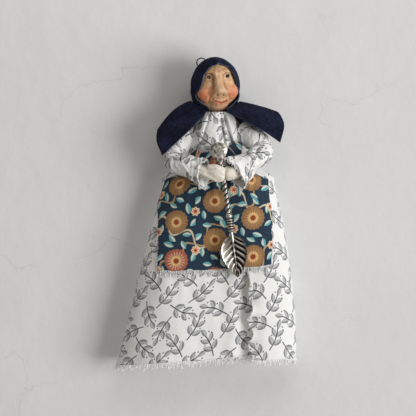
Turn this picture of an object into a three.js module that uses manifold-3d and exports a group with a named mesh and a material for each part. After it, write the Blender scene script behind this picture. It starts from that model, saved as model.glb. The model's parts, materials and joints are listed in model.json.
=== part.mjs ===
// A hanging kitchen witch doll: a clay head on a dowel, a stuffed body, a hooded felt cape, a printed
// cotton dress with an apron, and two stuffed arms whose hands clasp a leaf spoon.
// Millimetres, +Z up. The doll faces -Y and its back hangs flat against a wall on its +Y side.
import * as THREE from "three";
import { mergeVertices } from "three/addons/utils/BufferGeometryUtils.js";
import Module from "manifold-3d";

const wasm = await Module();
wasm.setup();

// Driving dimensions, in a frame whose Z is measured from the hem
const GAP = 0.35; // clearance between neighbouring pieces
const COTTON = 0.9; // thickness of the printed cotton
const FELT = 1.2; // thickness of the hood and cape felt
const WALL_Y = 16; // the plane of the doll's back

// Head, eyes and dowel
const HEAD_AXIS = new THREE.Vector2(2.5, -4.2); // the dowel's axis, on which the head turns
const NECK_TOP = 202; // the stuffed neck's end, on which the head sits
const HEAD_RADIUS = 17.2;
const HEAD_HALF_HEIGHT = 21;
const HEAD_Z = NECK_TOP + HEAD_HALF_HEIGHT; // middle of the head
const HEAD_YAW = THREE.MathUtils.degToRad(11); // the head looks a little to the right
const FACE_ROLL = THREE.MathUtils.degToRad(4); // the face tips a little to the left
const DOWEL_RADIUS = 3;
const DOWEL_BOTTOM = 152;
const DOWEL_TOP = HEAD_Z + 5;
const EYE_RADIUS = 1.7;
const EYE_SPREAD = 8; // from the nose line to each eye
const EYE_HEIGHT = 6.9; // above the middle of the head

// Hood, cape and hanging loop
const HOOD_ROOM = 0.7; // between the head and the hood
const HOOD_RADIUS = HEAD_RADIUS + HOOD_ROOM + FELT;
const HOOD_BOTTOM = NECK_TOP + 1.6;
const HOOD_BOTTOM_RADIUS = 15.4;
const LOOP_RADIUS = 3.7; // of the cord's centre line
const LOOP_CORD = 1.0;
const LOOP_SET_BACK = 9.5; // behind the head's axis
const LOOP_LEAN = THREE.MathUtils.degToRad(56); // of the spot on the crown, left of straight up

// Stuffed body
const BODY_X = 3;
const BODY_Y = 2;
const NECK_RADIUS = 6.6;
const COLLAR_RADIUS = NECK_RADIUS + 2.2; // of the blouse, where the thread ties it
const SHOULDER_Z = NECK_TOP - 12;
const SHOULDER_HALF_WIDTH = 21;
const WAIST_Z = 163;
const CHEST_HALF_WIDTH = 18;
const WAIST_HALF_WIDTH = 17;
const HIP_HALF_WIDTH = 27;
const BODY_BOTTOM = 120;
const BODY_DEPTH = 11; // half of the body's thickness

// Blouse and arms
const BODICE_HEM = 171.5;
const BODICE_HALF_WIDTH = 20.5;
const BODICE_FRONT = 19; // how far the blouse stands out in front of the body's middle
const GATHERS = 8; // folds round the neck
const THREAD = 1.0;
const SLEEVE_RADIUS = 9.2;
const ARM_RADIUS = 5.2;
const ELBOW_LEFT = new THREE.Vector3(-27.5, -12.9, 165.5);
const ELBOW_RIGHT = new THREE.Vector3(38, -11, 172);
const SHOULDER_INSET = 3; // the arms start inside the shoulders
const HANDS = new THREE.Vector3(9.6, -28.5, 152.2); // where the two hands meet
const CUFF_LEFT = new THREE.Vector3(-6.5, -26.5, 153.0);
const CUFF_RIGHT = new THREE.Vector3(23, -26, 155.0);
const CUFF_HALF_HEIGHT = 12.5;
const CUFF_HALF_DEPTH = 7.4;
const HAND_HALF_HEIGHT = 7;
const HAND_HALF_DEPTH = 5;

// Skirt and apron
const SKIRT_TOP = 165;
const SKIRT_HALF_TOP = 28;
const SKIRT_HALF_HIP = 44.6;
const SKIRT_HALF_HEM = 70.6;
const SKIRT_HIP_Z = 145;
const SKIRT_HEM_SHIFT = -7.2; // the hem's middle, left of the hips' middle
const SKIRT_FRONT_TOP = -10.6; // Y of the front at the waist
const SKIRT_FRONT_HEM = -16;
const FRONT_HEM_RISE = 9.5; // the front's hem climbs this much behind the right panel
const OVERLAP_EDGE = 29.5; // X of the right panel's folded edge
const OVERLAP_TUCK = 9; // the front panel runs this far behind it
const APRON_TOP = 170.5;
const APRON_HEM = 75.5;
const APRON_HEM_RISE = 5; // the apron's right corner is this much higher
const APRON_HALF_WIDTH = 44.2;
const APRON_MIDDLE = 1.8; // X of its middle
const APRON_HIP_SPREAD = 0.9; // of the skirt's half width at the hips
const APRON_HALF_TOP = 18; // gathered at the waist
const CAPE_SPREAD = 100; // from tip to tip

// Spoon, measured along its own axis from the hands
const SPOON_LEAN = 8.2; // degrees, its bowl to the right
const SPOON_PITCH = 2.6; // degrees, its bowl towards the apron
const FINIAL_START = 6;
const FINIAL_LENGTH = 20.2;
const FINIAL_HALF_WIDTH = 7.2;
const FINIAL_SHIFT = -0.9; // it is soldered a little off the stem's axis
const STEM_RADIUS = 2.1;
const STEM_END = 35;
const STEM_TURNS = 6;
const FERRULE_RADIUS = 2.6;
const FERRULE_LENGTH = 10.5;
const FERRULE_RIDGES = 5;
const SPOON_NECK_RADIUS = 1.35;
const BOWL_START = 48.5;
const BOWL_LENGTH = 34;
const BOWL_HALF_WIDTH = 10.8;
const BOWL_DEPTH = 3.2;
const BOWL_WALL = 1.1;
const BOWL_TEETH = 10;
const BOWL_VEINS = 6;
const SPOON_GRIP = 0.45; // clearance of the stem in the hands

const V = (x, y, z) => new THREE.Vector3(x, y, z);
const { clamp, lerp, smoothstep, degToRad } = THREE.MathUtils;

// Solids and meshes

// A closed surface over rings of points. A joined body's last ring meets its first, as on a shell;
// otherwise its end rings are closed by a fan.
function ringBody(rings, joined = false) {
  const sides = rings[0].length;
  const positions = rings.flat().flatMap((p) => [p.x, p.y, p.z]);
  const index = [];
  const bands = joined ? rings.length : rings.length - 1;
  for (let i = 0; i < bands; i++) {
    const here = i * sides;
    const next = ((i + 1) % rings.length) * sides;
    for (let j = 0; j < sides; j++) {
      const k = (j + 1) % sides;
      index.push(here + j, here + k, next + k, here + j, next + k, next + j);
    }
  }
  if (!joined) {
    for (const [ring, turn] of [[0, 1], [rings.length - 1, -1]]) {
      const middle = rings[ring].reduce((sum, p) => sum.add(p), V(0, 0, 0)).divideScalar(sides);
      const hub = positions.length / 3;
      positions.push(middle.x, middle.y, middle.z);
      for (let j = 0; j < sides; j++) {
        const a = ring * sides + j;
        const b = ring * sides + ((j + 1) % sides);
        index.push(hub, ...(turn > 0 ? [b, a] : [a, b]));
      }
    }
  }
  return facingOut(new THREE.BufferGeometry()
    .setAttribute("position", new THREE.Float32BufferAttribute(positions, 3)).setIndex(index));
}

// Turns a closed surface round if its faces point inwards.
function facingOut(geometry) {
  const p = geometry.attributes.position;
  const index = geometry.index.array;
  const corner = (i) => V().fromBufferAttribute(p, index[i]);
  let volume = 0;
  for (let i = 0; i < index.length; i += 3) volume += corner(i).dot(corner(i + 1).cross(corner(i + 2)));
  if (volume < 0) {
    for (let i = 0; i < index.length; i += 3) [index[i], index[i + 1]] = [index[i + 1], index[i]];
  }
  return geometry;
}

// A sheet of even thickness over point(u, v), with u and v from 0 to 1.
function sheet(point, across, along, thickness) {
  const step = 1e-3;
  const side = (u, v, offset) => {
    const du = point(Math.min(u + step, 1), v).sub(point(Math.max(u - step, 0), v));
    const dv = point(u, Math.min(v + step, 1)).sub(point(u, Math.max(v - step, 0)));
    return point(u, v).addScaledVector(du.cross(dv).normalize(), offset);
  };
  const rings = [];
  for (let i = 0; i <= along; i++) {
    const ring = [];
    for (let j = 0; j <= across; j++) ring.push(side(j / across, i / along, thickness / 2));
    for (let j = across; j >= 0; j--) ring.push(side(j / across, i / along, -thickness / 2));
    rings.push(ring);
  }
  return sheetBody(rings, across);
}

// The sheet's end strips are quads between its two faces, because a fan would cross a curved end.
function sheetBody(rings, across) {
  const sides = rings[0].length;
  const open = ringBody(rings);
  const bands = (rings.length - 1) * sides * 6;
  const index = Array.from(open.index.array.slice(0, bands));
  const flipped = open.index.array[0] !== 0;
  for (const [ring, turn] of [[0, flipped], [rings.length - 1, !flipped]]) {
    for (let j = 0; j < across; j++) {
      const [a, b] = [ring * sides + j, ring * sides + j + 1];
      const [d, c] = [ring * sides + sides - 1 - j, ring * sides + sides - 2 - j];
      index.push(...(turn ? [a, b, c, a, c, d] : [a, c, b, a, d, c]));
    }
  }
  const positions = open.attributes.position.array.slice(0, rings.length * sides * 3);
  return facingOut(new THREE.BufferGeometry()
    .setAttribute("position", new THREE.Float32BufferAttribute(positions, 3)).setIndex(index));
}

// One ring of a tube: an oval of half width a and half height b across the tangent, turned to `up`.
function oval(centre, tangent, up, a, b, sides, ripple = () => 1) {
  const width = tangent.clone().cross(up).normalize();
  const height = width.clone().cross(tangent).normalize();
  return Array.from({ length: sides }, (_, j) => {
    const angle = (j / sides) * 2 * Math.PI;
    const r = ripple(angle);
    return centre.clone().addScaledVector(width, a * r * Math.cos(angle))
      .addScaledVector(height, b * r * Math.sin(angle));
  });
}

// Rings along a curve, with the half sizes given by size(t) as [across, upright, ripple].
function tubeRings(curve, size, steps, sides, up) {
  return Array.from({ length: steps + 1 }, (_, i) => {
    const t = i / steps;
    const [a, b, ripple] = size(t);
    return oval(curve.getPointAt(t), curve.getTangentAt(t), up, a, b, sides, ripple);
  });
}

function toSolid(geometry) {
  const bare = geometry.clone();
  for (const name of Object.keys(bare.attributes)) if (name !== "position") bare.deleteAttribute(name);
  const merged = mergeVertices(bare, 1e-4);
  return new wasm.Manifold(new wasm.Mesh({
    numProp: 3,
    vertProperties: merged.attributes.position.array,
    triVerts: new Uint32Array(merged.index.array),
  }));
}

function toGeometry(solid) {
  const mesh = solid.getMesh();
  return new THREE.BufferGeometry()
    .setAttribute("position", new THREE.BufferAttribute(mesh.vertProperties.slice(), 3))
    .setIndex(new THREE.BufferAttribute(mesh.triVerts.slice(), 1));
}

const cut = (geometry, ...tools) =>
  toGeometry(tools.reduce((solid, tool) => solid.subtract(toSolid(tool)), toSolid(geometry)));
const join = (...pieces) => {
  const bodies = pieces.map(toSolid).reduce((a, b) => a.add(b)).decompose();
  return toGeometry(bodies.reduce((a, b) => (a.volume() > b.volume() ? a : b)));
};

const felt = new THREE.MeshStandardMaterial({ color: 0x1a1d33, roughness: 0.95 });
const leafCotton = new THREE.MeshStandardMaterial({ color: 0xe9e6e0, roughness: 0.9 });
const apronCotton = new THREE.MeshStandardMaterial({ color: 0x2c4050, roughness: 0.9 });
const muslin = new THREE.MeshStandardMaterial({ color: 0xe3dccb, roughness: 0.95 });
const clay = new THREE.MeshStandardMaterial({ color: 0xd6a67c, roughness: 0.55 });
const glass = new THREE.MeshStandardMaterial({ color: 0x14100e, roughness: 0.1 });
const silver = new THREE.MeshStandardMaterial({ color: 0xc9c4ba, roughness: 0.25, metalness: 1 });
const beech = new THREE.MeshStandardMaterial({ color: 0xc9a77a, roughness: 0.7 });
const cord = new THREE.MeshStandardMaterial({ color: 0x15161c, roughness: 0.8 });

const doll = new THREE.Group();

function addPiece(name, geometry, material, parent = doll) {
  const mesh = new THREE.Mesh(geometry, material);
  mesh.name = name;
  parent.add(mesh);
  return mesh;
}

// Head, in its own frame: the middle of the head, facing -Y

// How far the clay stands forward at (x, z) of the face: [height, x, z, half width, half height].
const FACE_SWELLS = [
  [7.4, -0.4, -4.6, 5, 4], // ball of the nose
  [3.6, -0.4, 2, 3.8, 8.5], // bridge
  [2.8, -6.2, -5.8, 2, 2.4], // wings of the nose
  [2.8, 5.4, -5.8, 2, 2.4],
  [3.6, -11.7, -6.5, 4.7, 4.7], // cheeks
  [3.6, 11.5, -6.6, 4.6, 4.6],
  [2.2, 0.8, -12.2, 5.4, 3.6], // lips
  [3, 0.6, -17.2, 5.2, 2.8], // chin
  [1.4, -6.9, 11.2, 4, 1.8], // brows
  [1.4, 6.9, 11.2, 4, 1.8],
  [-1.5, -7.4, 6.9, 2.8, 2.2], // eye sockets
  [-1.5, 7.4, 6.9, 2.8, 2.2],
  [-1, 0.8, -12.5, 4.2, 0.7], // mouth line
];

// A place on the head moved to the face's own axes, which tip by its roll.
function levelled(x, z, roll) {
  return [Math.cos(roll) * x + Math.sin(roll) * z, Math.cos(roll) * z - Math.sin(roll) * x];
}

function faceSwell(x, z) {
  const [across, up] = levelled(x, z, FACE_ROLL);
  return FACE_SWELLS.reduce((sum, [height, cx, cz, sx, sz]) =>
    sum + height * Math.exp(-(((across - cx) / sx) ** 2) - ((up - cz) / sz) ** 2), 0);
}

function headSurface() {
  const rings = [];
  const rows = 24;
  const columns = 32;
  for (let i = 0; i <= rows; i++) {
    const polar = lerp(0.06, Math.PI - 0.06, i / rows);
    const ring = [];
    for (let j = 0; j < columns; j++) {
      const angle = (j / columns) * 2 * Math.PI;
      // columns crowd towards the face
      const turn = angle + 0.35 * Math.sin(angle);
      const p = V(Math.sin(polar) * Math.sin(turn), Math.sin(polar) * Math.cos(turn), Math.cos(polar));
      p.multiply(V(HEAD_RADIUS, HEAD_RADIUS, HEAD_HALF_HEIGHT));
      const front = smoothstep(-p.y, 0, 0.45 * HEAD_RADIUS);
      p.y -= front * faceSwell(p.x, p.z);
      ring.push(p);
    }
    rings.push(ring);
  }
  return ringBody(rings);
}

function eyePlace(sign) {
  const [x, z] = levelled(sign * EYE_SPREAD, EYE_HEIGHT, -FACE_ROLL);
  const depth = 1 - (x / HEAD_RADIUS) ** 2 - (z / HEAD_HALF_HEIGHT) ** 2;
  const y = -Math.sqrt(depth) * HEAD_RADIUS;
  return V(x, y - faceSwell(x, z) + 0.75 * EYE_RADIUS, z);
}

function eyeBall(sign, grow) {
  return new THREE.SphereGeometry(EYE_RADIUS + grow, 12, 8).translate(...eyePlace(sign).toArray());
}

function dowelRod(grow, top) {
  const length = top - DOWEL_BOTTOM;
  return new THREE.CylinderGeometry(DOWEL_RADIUS + grow, DOWEL_RADIUS + grow, length, 24)
    .rotateX(Math.PI / 2).translate(0, 0, DOWEL_BOTTOM + length / 2);
}

function makeHead() {
  const bore = dowelRod(GAP, DOWEL_TOP + GAP).translate(0, 0, -HEAD_Z);
  return cut(headSurface(), bore, eyeBall(-1, GAP), eyeBall(1, GAP));
}

// Hood: a felt shell turned about the head's axis, open at the face and the neck

function hoodProfile(inset) {
  const points = [];
  const radius = HOOD_RADIUS - inset;
  const crown = HEAD_HALF_HEIGHT + HOOD_ROOM + FELT - inset;
  for (let i = 0; i <= 7; i++) {
    const angle = (i / 7) * (Math.PI / 2);
    points.push(new THREE.Vector2(radius * Math.sin(angle), crown * Math.cos(angle)));
  }
  const bottom = HOOD_BOTTOM - HEAD_Z;
  for (let i = 1; i <= 4; i++) {
    const drop = i / 4;
    points.push(new THREE.Vector2(lerp(radius, HOOD_BOTTOM_RADIUS - inset, drop * drop), bottom * drop));
  }
  return points;
}

function faceOpening() {
  const half = [[4.6, 16.3], [9, 12.5], [12.6, 5.5], [15, -3], [16.5, -7.5], [12.8, -13.5], [7.2, -19.5]];
  const outline = new THREE.Shape();
  const right = half.map(([x, z]) => new THREE.Vector2(x, z));
  const left = half.map(([x, z]) => new THREE.Vector2(-x, z)).reverse();
  const peak = new THREE.Vector2(0, 16.9);
  const below = HOOD_BOTTOM - HEAD_Z - 10;
  outline.moveTo(peak.x, peak.y);
  outline.splineThru(right);
  outline.lineTo(right.at(-1).x, below);
  outline.lineTo(left[0].x, below);
  outline.lineTo(left[0].x, left[0].y);
  outline.splineThru([...left.slice(1), peak]);
  const reach = HOOD_RADIUS + 6;
  return new THREE.ExtrudeGeometry(outline, { depth: reach, bevelEnabled: false, curveSegments: 3 })
    .rotateX(Math.PI / 2);
}

function makeHood() {
  const outer = hoodProfile(0);
  const inner = hoodProfile(FELT).reverse();
  const wall = new THREE.LatheGeometry([...outer, ...inner, outer[0]], 26).rotateX(Math.PI / 2);
  return cut(facingOut(wall), faceOpening());
}

// Hanging loop: most of a ring of cord, standing on the back of the crown

const crownSpot = (() => {
  const back = LOOP_SET_BACK;
  const side = Math.sqrt(1 - (back / HOOD_RADIUS) ** 2); // the crown's outline, seen that far back
  const crown = HEAD_HALF_HEIGHT + HOOD_ROOM + FELT;
  const out = Math.PI / 2 + Math.PI / 2 - LOOP_LEAN;
  const x = HEAD_AXIS.x + side * HOOD_RADIUS * Math.cos(out);
  return V(x, HEAD_AXIS.y + back, HEAD_Z + side * crown * Math.sin(out));
})();
const loopUp = V(-Math.cos(LOOP_LEAN), 0, Math.sin(LOOP_LEAN));
const loopAlong = V(Math.sin(LOOP_LEAN), 0, Math.cos(LOOP_LEAN)); // the line through the loop's two ends
const loopCentre = crownSpot.clone().addScaledVector(loopUp, 0.62 * LOOP_RADIUS + LOOP_CORD / 2 + GAP);
const loopFeet = loopCentre.clone().addScaledVector(loopUp, -0.62 * LOOP_RADIUS);
const nailRest = loopCentre.clone().addScaledVector(loopUp, LOOP_RADIUS - LOOP_CORD / 2);

function makeLoop() {
  const foot = Math.asin(-0.62);
  const points = [];
  for (let i = 0; i <= 18; i++) {
    const angle = lerp(foot, Math.PI - foot, i / 18);
    points.push(loopCentre.clone().addScaledVector(loopAlong, LOOP_RADIUS * Math.cos(angle))
      .addScaledVector(loopUp, LOOP_RADIUS * Math.sin(angle)));
  }
  const section = new THREE.Shape().absarc(0, 0, LOOP_CORD / 2, 0, 2 * Math.PI);
  return new THREE.ExtrudeGeometry(section, {
    extrudePath: new THREE.CatmullRomCurve3(points), steps: 24, curveSegments: 4, bevelEnabled: false,
  });
}

// Stuffed body, blouse and neck thread

// [height, half width, half depth, y of the middle], from the bottom up
const BODY_STATIONS = [
  [BODY_BOTTOM, 9, 5, BODY_Y],
  [BODY_BOTTOM + 6, HIP_HALF_WIDTH - 4, BODY_DEPTH - 2, BODY_Y],
  [BODY_BOTTOM + 20, HIP_HALF_WIDTH, BODY_DEPTH, BODY_Y],
  [WAIST_Z, WAIST_HALF_WIDTH, BODY_DEPTH - 0.5, BODY_Y],
  [SHOULDER_Z - 12, CHEST_HALF_WIDTH, BODY_DEPTH - 0.5, BODY_Y],
  [SHOULDER_Z, SHOULDER_HALF_WIDTH, BODY_DEPTH - 2, BODY_Y],
  [SHOULDER_Z + 7, 13, 8, BODY_Y - 3],
  [NECK_TOP, NECK_RADIUS, NECK_RADIUS, HEAD_AXIS.y],
];

// Smooth value of one column of a station table at height z.
function stationAt(table, column, z) {
  const last = table.length - 1;
  let i = table.findIndex((row) => row[0] > z) - 1;
  if (i < 0) i = z <= table[0][0] ? 0 : last - 1;
  const t = clamp((z - table[i][0]) / (table[i + 1][0] - table[i][0]), 0, 1);
  const y = (k) => table[clamp(k, 0, last)][column];
  const slope = (k) => ((y(k + 1) - y(k)) * (y(k) - y(k - 1)) > 0
    ? (y(k + 1) - y(k - 1)) / (table[k + 1][0] - table[k - 1][0]) : 0);
  const h = table[i + 1][0] - table[i][0];
  const t2 = t * t;
  const t3 = t2 * t;
  return (2 * t3 - 3 * t2 + 1) * y(i) + (t3 - 2 * t2 + t) * h * slope(i) + (3 * t2 - 2 * t3) * y(i + 1)
    + (t3 - t2) * h * slope(i + 1);
}

function torsoRing(z, halfWidth, front, back, middleY, sides, ripple = () => 0) {
  return Array.from({ length: sides }, (_, j) => {
    const angle = (j / sides) * 2 * Math.PI;
    const sin = Math.sin(angle);
    const r = 1 + ripple(angle);
    const x = lerp(BODY_X, HEAD_AXIS.x, smoothstep(z, SHOULDER_Z, NECK_TOP));
    return V(x + halfWidth * r * Math.cos(angle), middleY + (sin > 0 ? back : front * r) * sin, z);
  });
}

function bodySurface(grow) {
  const rings = [];
  const steps = 16;
  for (let i = 0; i <= steps; i++) {
    const z = lerp(BODY_BOTTOM, NECK_TOP, i / steps);
    const depth = stationAt(BODY_STATIONS, 2, z) + grow;
    const lift = i === 0 ? -grow : i === steps ? grow : 0;
    rings.push(torsoRing(z + lift, stationAt(BODY_STATIONS, 1, z) + grow, depth, depth,
      stationAt(BODY_STATIONS, 3, z), 22));
  }
  return ringBody(rings);
}

function makeBody() {
  return cut(bodySurface(0), dowelRod(GAP, DOWEL_TOP).translate(HEAD_AXIS.x, HEAD_AXIS.y, 0));
}

// [height, half width, front, back, y of the middle] of the blouse's outside
const BODICE_STATIONS = [
  [BODICE_HEM, BODICE_HALF_WIDTH - 1.5, BODICE_FRONT - 1.5, BODY_DEPTH + 0.8, BODY_Y],
  [BODICE_HEM + 4, BODICE_HALF_WIDTH, BODICE_FRONT, BODY_DEPTH + 0.8, BODY_Y],
  [SHOULDER_Z - 8, BODICE_HALF_WIDTH + 0.5, BODICE_FRONT - 3, BODY_DEPTH + 0.8, BODY_Y],
  [SHOULDER_Z + 1, SHOULDER_HALF_WIDTH + 1.5, BODY_DEPTH + 1, BODY_DEPTH, BODY_Y],
  [SHOULDER_Z + 7, 16, 11, 9.6, BODY_Y - 3],
  [NECK_TOP - 2.4, COLLAR_RADIUS, COLLAR_RADIUS, COLLAR_RADIUS, HEAD_AXIS.y],
  [NECK_TOP, COLLAR_RADIUS, COLLAR_RADIUS, COLLAR_RADIUS, HEAD_AXIS.y],
];

function bodiceRings(inset) {
  const chest = [BODICE_HEM, BODICE_HEM + 4, SHOULDER_Z - 8, SHOULDER_Z - 3];
  const heights = [...chest, SHOULDER_Z + 2, SHOULDER_Z + 6.5, NECK_TOP - 2.4, NECK_TOP];
  return heights.map((z, i) => {
    const [width, front, back, middle] = [1, 2, 3, 4].map((column) => stationAt(BODICE_STATIONS, column, z));
    const swell = i < heights.length - 2 ? 0.045 : 0;
    const ripple = (angle) => swell * Math.cos(GATHERS * angle);
    return torsoRing(z, width - inset, front - inset, back - inset, middle, 28, ripple);
  });
}

function makeBodice() {
  const outer = bodiceRings(0);
  const inner = bodiceRings(COTTON).reverse();
  const shell = ringBody([...outer, ...inner], true);
  return cut(shell, bodySurface(GAP), upperSleeveOutside(-1, GAP), upperSleeveOutside(1, GAP),
    elbowBall(-1, 2 * GAP), elbowBall(1, 2 * GAP));
}

function makeNeckThread() {
  const radius = COLLAR_RADIUS + GAP + THREAD / 2;
  return new THREE.TorusGeometry(radius, THREAD / 2, 6, 24)
    .translate(HEAD_AXIS.x, HEAD_AXIS.y, NECK_TOP - 0.8 * THREAD);
}

// Arms and sleeves: side is -1 for the doll's right arm, on the viewer's left

const elbowOf = (side) => (side < 0 ? ELBOW_LEFT : ELBOW_RIGHT);
const cuffOf = (side) => (side < 0 ? CUFF_LEFT : CUFF_RIGHT);
function shoulderOf(side) {
  return V(BODY_X + side * (SHOULDER_HALF_WIDTH - SHOULDER_INSET), BODY_Y - 2, SHOULDER_Z - 5);
}
const NORTH = V(0, 1, 0);
const UP = V(0, 0, 1);

function upperArmCurve(side) {
  const [shoulder, elbow] = [shoulderOf(side), elbowOf(side)];
  const bow = shoulder.clone().lerp(elbow, 0.5).add(V(side * 2.5, 0, 1.5));
  return new THREE.CatmullRomCurve3([shoulder, bow, elbow]);
}

function upperSleeveRings(side, grow) {
  const size = (t) => {
    const r = SLEEVE_RADIUS * (0.86 + 0.14 * smoothstep(t, 0, 0.5)) + grow;
    return [r, r, (angle) => 1 + 0.03 * Math.cos(4 * angle + 3 * t)];
  };
  return tubeRings(upperArmCurve(side), size, 5, 14, NORTH);
}

const upperSleeveOutside = (side, grow) => ringBody(upperSleeveRings(side, grow));
const elbowBall = (side, grow) =>
  new THREE.SphereGeometry(SLEEVE_RADIUS + grow, 14, 8).translate(...elbowOf(side).toArray());

function makeUpperSleeve(side) {
  const shell = ringBody([...upperSleeveRings(side, 0), ...upperSleeveRings(side, -COTTON).reverse()], true);
  return cut(shell, bodySurface(GAP), elbowBall(side, 2 * GAP), lowerSleeveOutside(side, 3 * GAP));
}

function makeUpperArm(side) {
  const size = () => [ARM_RADIUS, ARM_RADIUS];
  const arm = ringBody(tubeRings(upperArmCurve(side), size, 6, 14, NORTH));
  return cut(arm, bodySurface(GAP), elbowBall(side, 2 * GAP));
}

// The lower sleeve is a bag: a ball at the elbow, drawn in along the forearm, flaring to an open cuff.
function lowerSleeveRings(side, grow) {
  const [elbow, cuff] = [elbowOf(side), cuffOf(side)];
  const reach = cuff.clone().sub(elbow);
  const heading = reach.clone().normalize();
  const rings = [];
  const ball = SLEEVE_RADIUS + grow;
  for (const angle of [10, 36, 63]) {
    const a = degToRad(angle);
    rings.push(oval(elbow.clone().addScaledVector(heading, -ball * Math.cos(a)), heading, UP,
      ball * Math.sin(a), ball * Math.sin(a), 18));
  }
  const steps = 6;
  for (let i = 0; i <= steps; i++) {
    const t = i / steps;
    const depth = lerp(SLEEVE_RADIUS, CUFF_HALF_DEPTH, smoothstep(t, 0, 0.6));
    const narrow = SLEEVE_RADIUS - 0.9 * Math.sin(Math.PI * t);
    const height = lerp(narrow, CUFF_HALF_HEIGHT, smoothstep(t, 0.45, 1));
    const half = [depth, height];
    const ripple = (angle) => 1 + 0.045 * t * Math.cos(6 * angle + 2 * t);
    const place = elbow.clone().addScaledVector(reach, t);
    rings.push(oval(place, heading, UP, half[0] + grow, half[1] + grow, 18, ripple));
  }
  return rings;
}

function lowerSleeveOutside(side, grow) {
  return ringBody(lowerSleeveRings(side, grow));
}

function makeLowerSleeve(side) {
  return ringBody([...lowerSleeveRings(side, 0), ...lowerSleeveRings(side, -COTTON).reverse()]);
}

// A forearm that swells into a mitten hand; the two hands meet round the spoon's stem.
function makeForearm(side) {
  const tip = HANDS.clone().add(V(side * GAP / 2, 0, 0));
  const wrist = cuffOf(side).clone().lerp(tip, 0.12);
  const curve = new THREE.CatmullRomCurve3([
    elbowOf(side).clone().lerp(cuffOf(side), 0.12), elbowOf(side).clone().lerp(cuffOf(side), 0.6), wrist, tip,
  ]);
  const size = (t) => {
    const hand = smoothstep(t, 0.55, 0.85);
    const tip = Math.sqrt(Math.max(1 - ((t - 0.9) / 0.115) ** 2, 0.1));
    const close = t > 0.9 ? tip : Math.min(1, 0.45 + 6 * t);
    const depth = lerp(ARM_RADIUS, HAND_HALF_DEPTH, hand);
    return [depth * close, lerp(ARM_RADIUS, HAND_HALF_HEIGHT, hand) * close];
  };
  const arm = ringBody(tubeRings(curve, size, 12, 14, UP));
  const beyond = new THREE.BoxGeometry(40, 40, 40).translate(tip.x - side * 20, tip.y, tip.z);
  return cut(arm, beyond, spoonChannel());
}

// Spoon, in its own frame: Z along the stem towards the finial, -Y facing out, the hands at zero

const spoonFrame = new THREE.Matrix4().makeTranslation(HANDS.x - 0.8, HANDS.y, HANDS.z)
  .multiply(new THREE.Matrix4().makeRotationY(degToRad(-SPOON_LEAN)))
  .multiply(new THREE.Matrix4().makeRotationX(degToRad(SPOON_PITCH)));

function spoonChannel() {
  const radius = STEM_RADIUS * 1.12 + SPOON_GRIP;
  return new THREE.CylinderGeometry(radius, radius, 60, 20).rotateX(Math.PI / 2).applyMatrix4(spoonFrame);
}

// Half width of an ovate leaf at s, from its stalk at 0 to its tip at 1.
const leafWidth = (s) => Math.sin(Math.PI * s ** 0.78) ** 0.72 * (1 - 0.12 * s);

function makeBowl() {
  const point = (u, v) => {
    const q = 2 * u - 1;
    const s = lerp(0.02, 0.985, v);
    const saw = (s * BOWL_TEETH) % 1;
    const tooth = 1 + 0.07 * Math.abs(q) ** 6 * (saw - 0.5);
    const vein = Math.cos(2 * Math.PI * BOWL_VEINS * (s - 0.22 * Math.abs(q)));
    const ribs = 0.4 * vein * Math.sin(Math.PI * clamp(Math.abs(q) * 1.15, 0, 1));
    const midrib = -0.8 * Math.exp(-((q / 0.09) ** 2));
    const hollow = BOWL_DEPTH * (1 - q * q) * Math.sin(Math.PI * s);
    const x = q * BOWL_HALF_WIDTH * leafWidth(s) * tooth;
    return V(x, hollow + ribs + midrib, -BOWL_START - BOWL_LENGTH * s);
  };
  return sheet(point, 12, 20, BOWL_WALL);
}

// The finial is a smooth drop with its point down.
function makeFinial() {
  const point = (u, v) => {
    const q = 2 * u - 1;
    const s = lerp(0.02, 0.98, v);
    const width = Math.sin(Math.PI * s ** 1.94) ** 0.6;
    const dome = -0.8 * (1 - q * q) * Math.sin(Math.PI * s);
    return V(FINIAL_SHIFT + q * FINIAL_HALF_WIDTH * width, dome, FINIAL_START + FINIAL_LENGTH * s);
  };
  return sheet(point, 8, 12, 1.7);
}

// The stem is two strands twisted together.
function makeStem() {
  const rings = [];
  const steps = 30;
  const bottom = -STEM_END - 1;
  const top = FINIAL_START + 2;
  for (let i = 0; i <= steps; i++) {
    const z = lerp(bottom, top, i / steps);
    const twist = (2 * Math.PI * STEM_TURNS * (z - bottom)) / (top - bottom);
    const taper = lerp(1, 0.62, smoothstep(z, FINIAL_START - 7, FINIAL_START + 1));
    rings.push(Array.from({ length: 8 }, (_, j) => {
      const angle = (j / 8) * 2 * Math.PI;
      const r = STEM_RADIUS * taper * (0.95 + 0.16 * Math.cos(2 * (angle - twist / 2)));
      return V(r * Math.cos(angle), r * Math.sin(angle), z);
    }));
  }
  return ringBody(rings);
}

// The ferrule's ridges, and the neck that runs down into the leaf.
function makeFerrule() {
  const top = -STEM_END + 0.8;
  const bottom = top - FERRULE_LENGTH;
  const points = [new THREE.Vector2(0, top), new THREE.Vector2(FERRULE_RADIUS * 0.9, top)];
  for (let i = 0; i < FERRULE_RIDGES; i++) {
    const pitch = FERRULE_LENGTH / FERRULE_RIDGES;
    points.push(new THREE.Vector2(FERRULE_RADIUS, top - pitch * (i + 0.35)));
    points.push(new THREE.Vector2(FERRULE_RADIUS * 0.78, top - pitch * (i + 0.9)));
  }
  points.push(new THREE.Vector2(SPOON_NECK_RADIUS, bottom - 1));
  points.push(new THREE.Vector2(SPOON_NECK_RADIUS, -BOWL_START - 5));
  points.push(new THREE.Vector2(0, -BOWL_START - 7));
  return new THREE.LatheGeometry(points.reverse(), 12).rotateX(Math.PI / 2);
}

function makeSpoon() {
  return join(makeStem(), makeFerrule(), makeFinial(), makeBowl()).applyMatrix4(spoonFrame);
}

// Skirt and apron

const BELL = 2.7; // power of the skirt's rounded section
const FOLDS = 6.5; // turns of the folds' wave round half the skirt, doubled
const SIDE_SEAM_Y = WALL_Y - COTTON - GAP;

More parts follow.
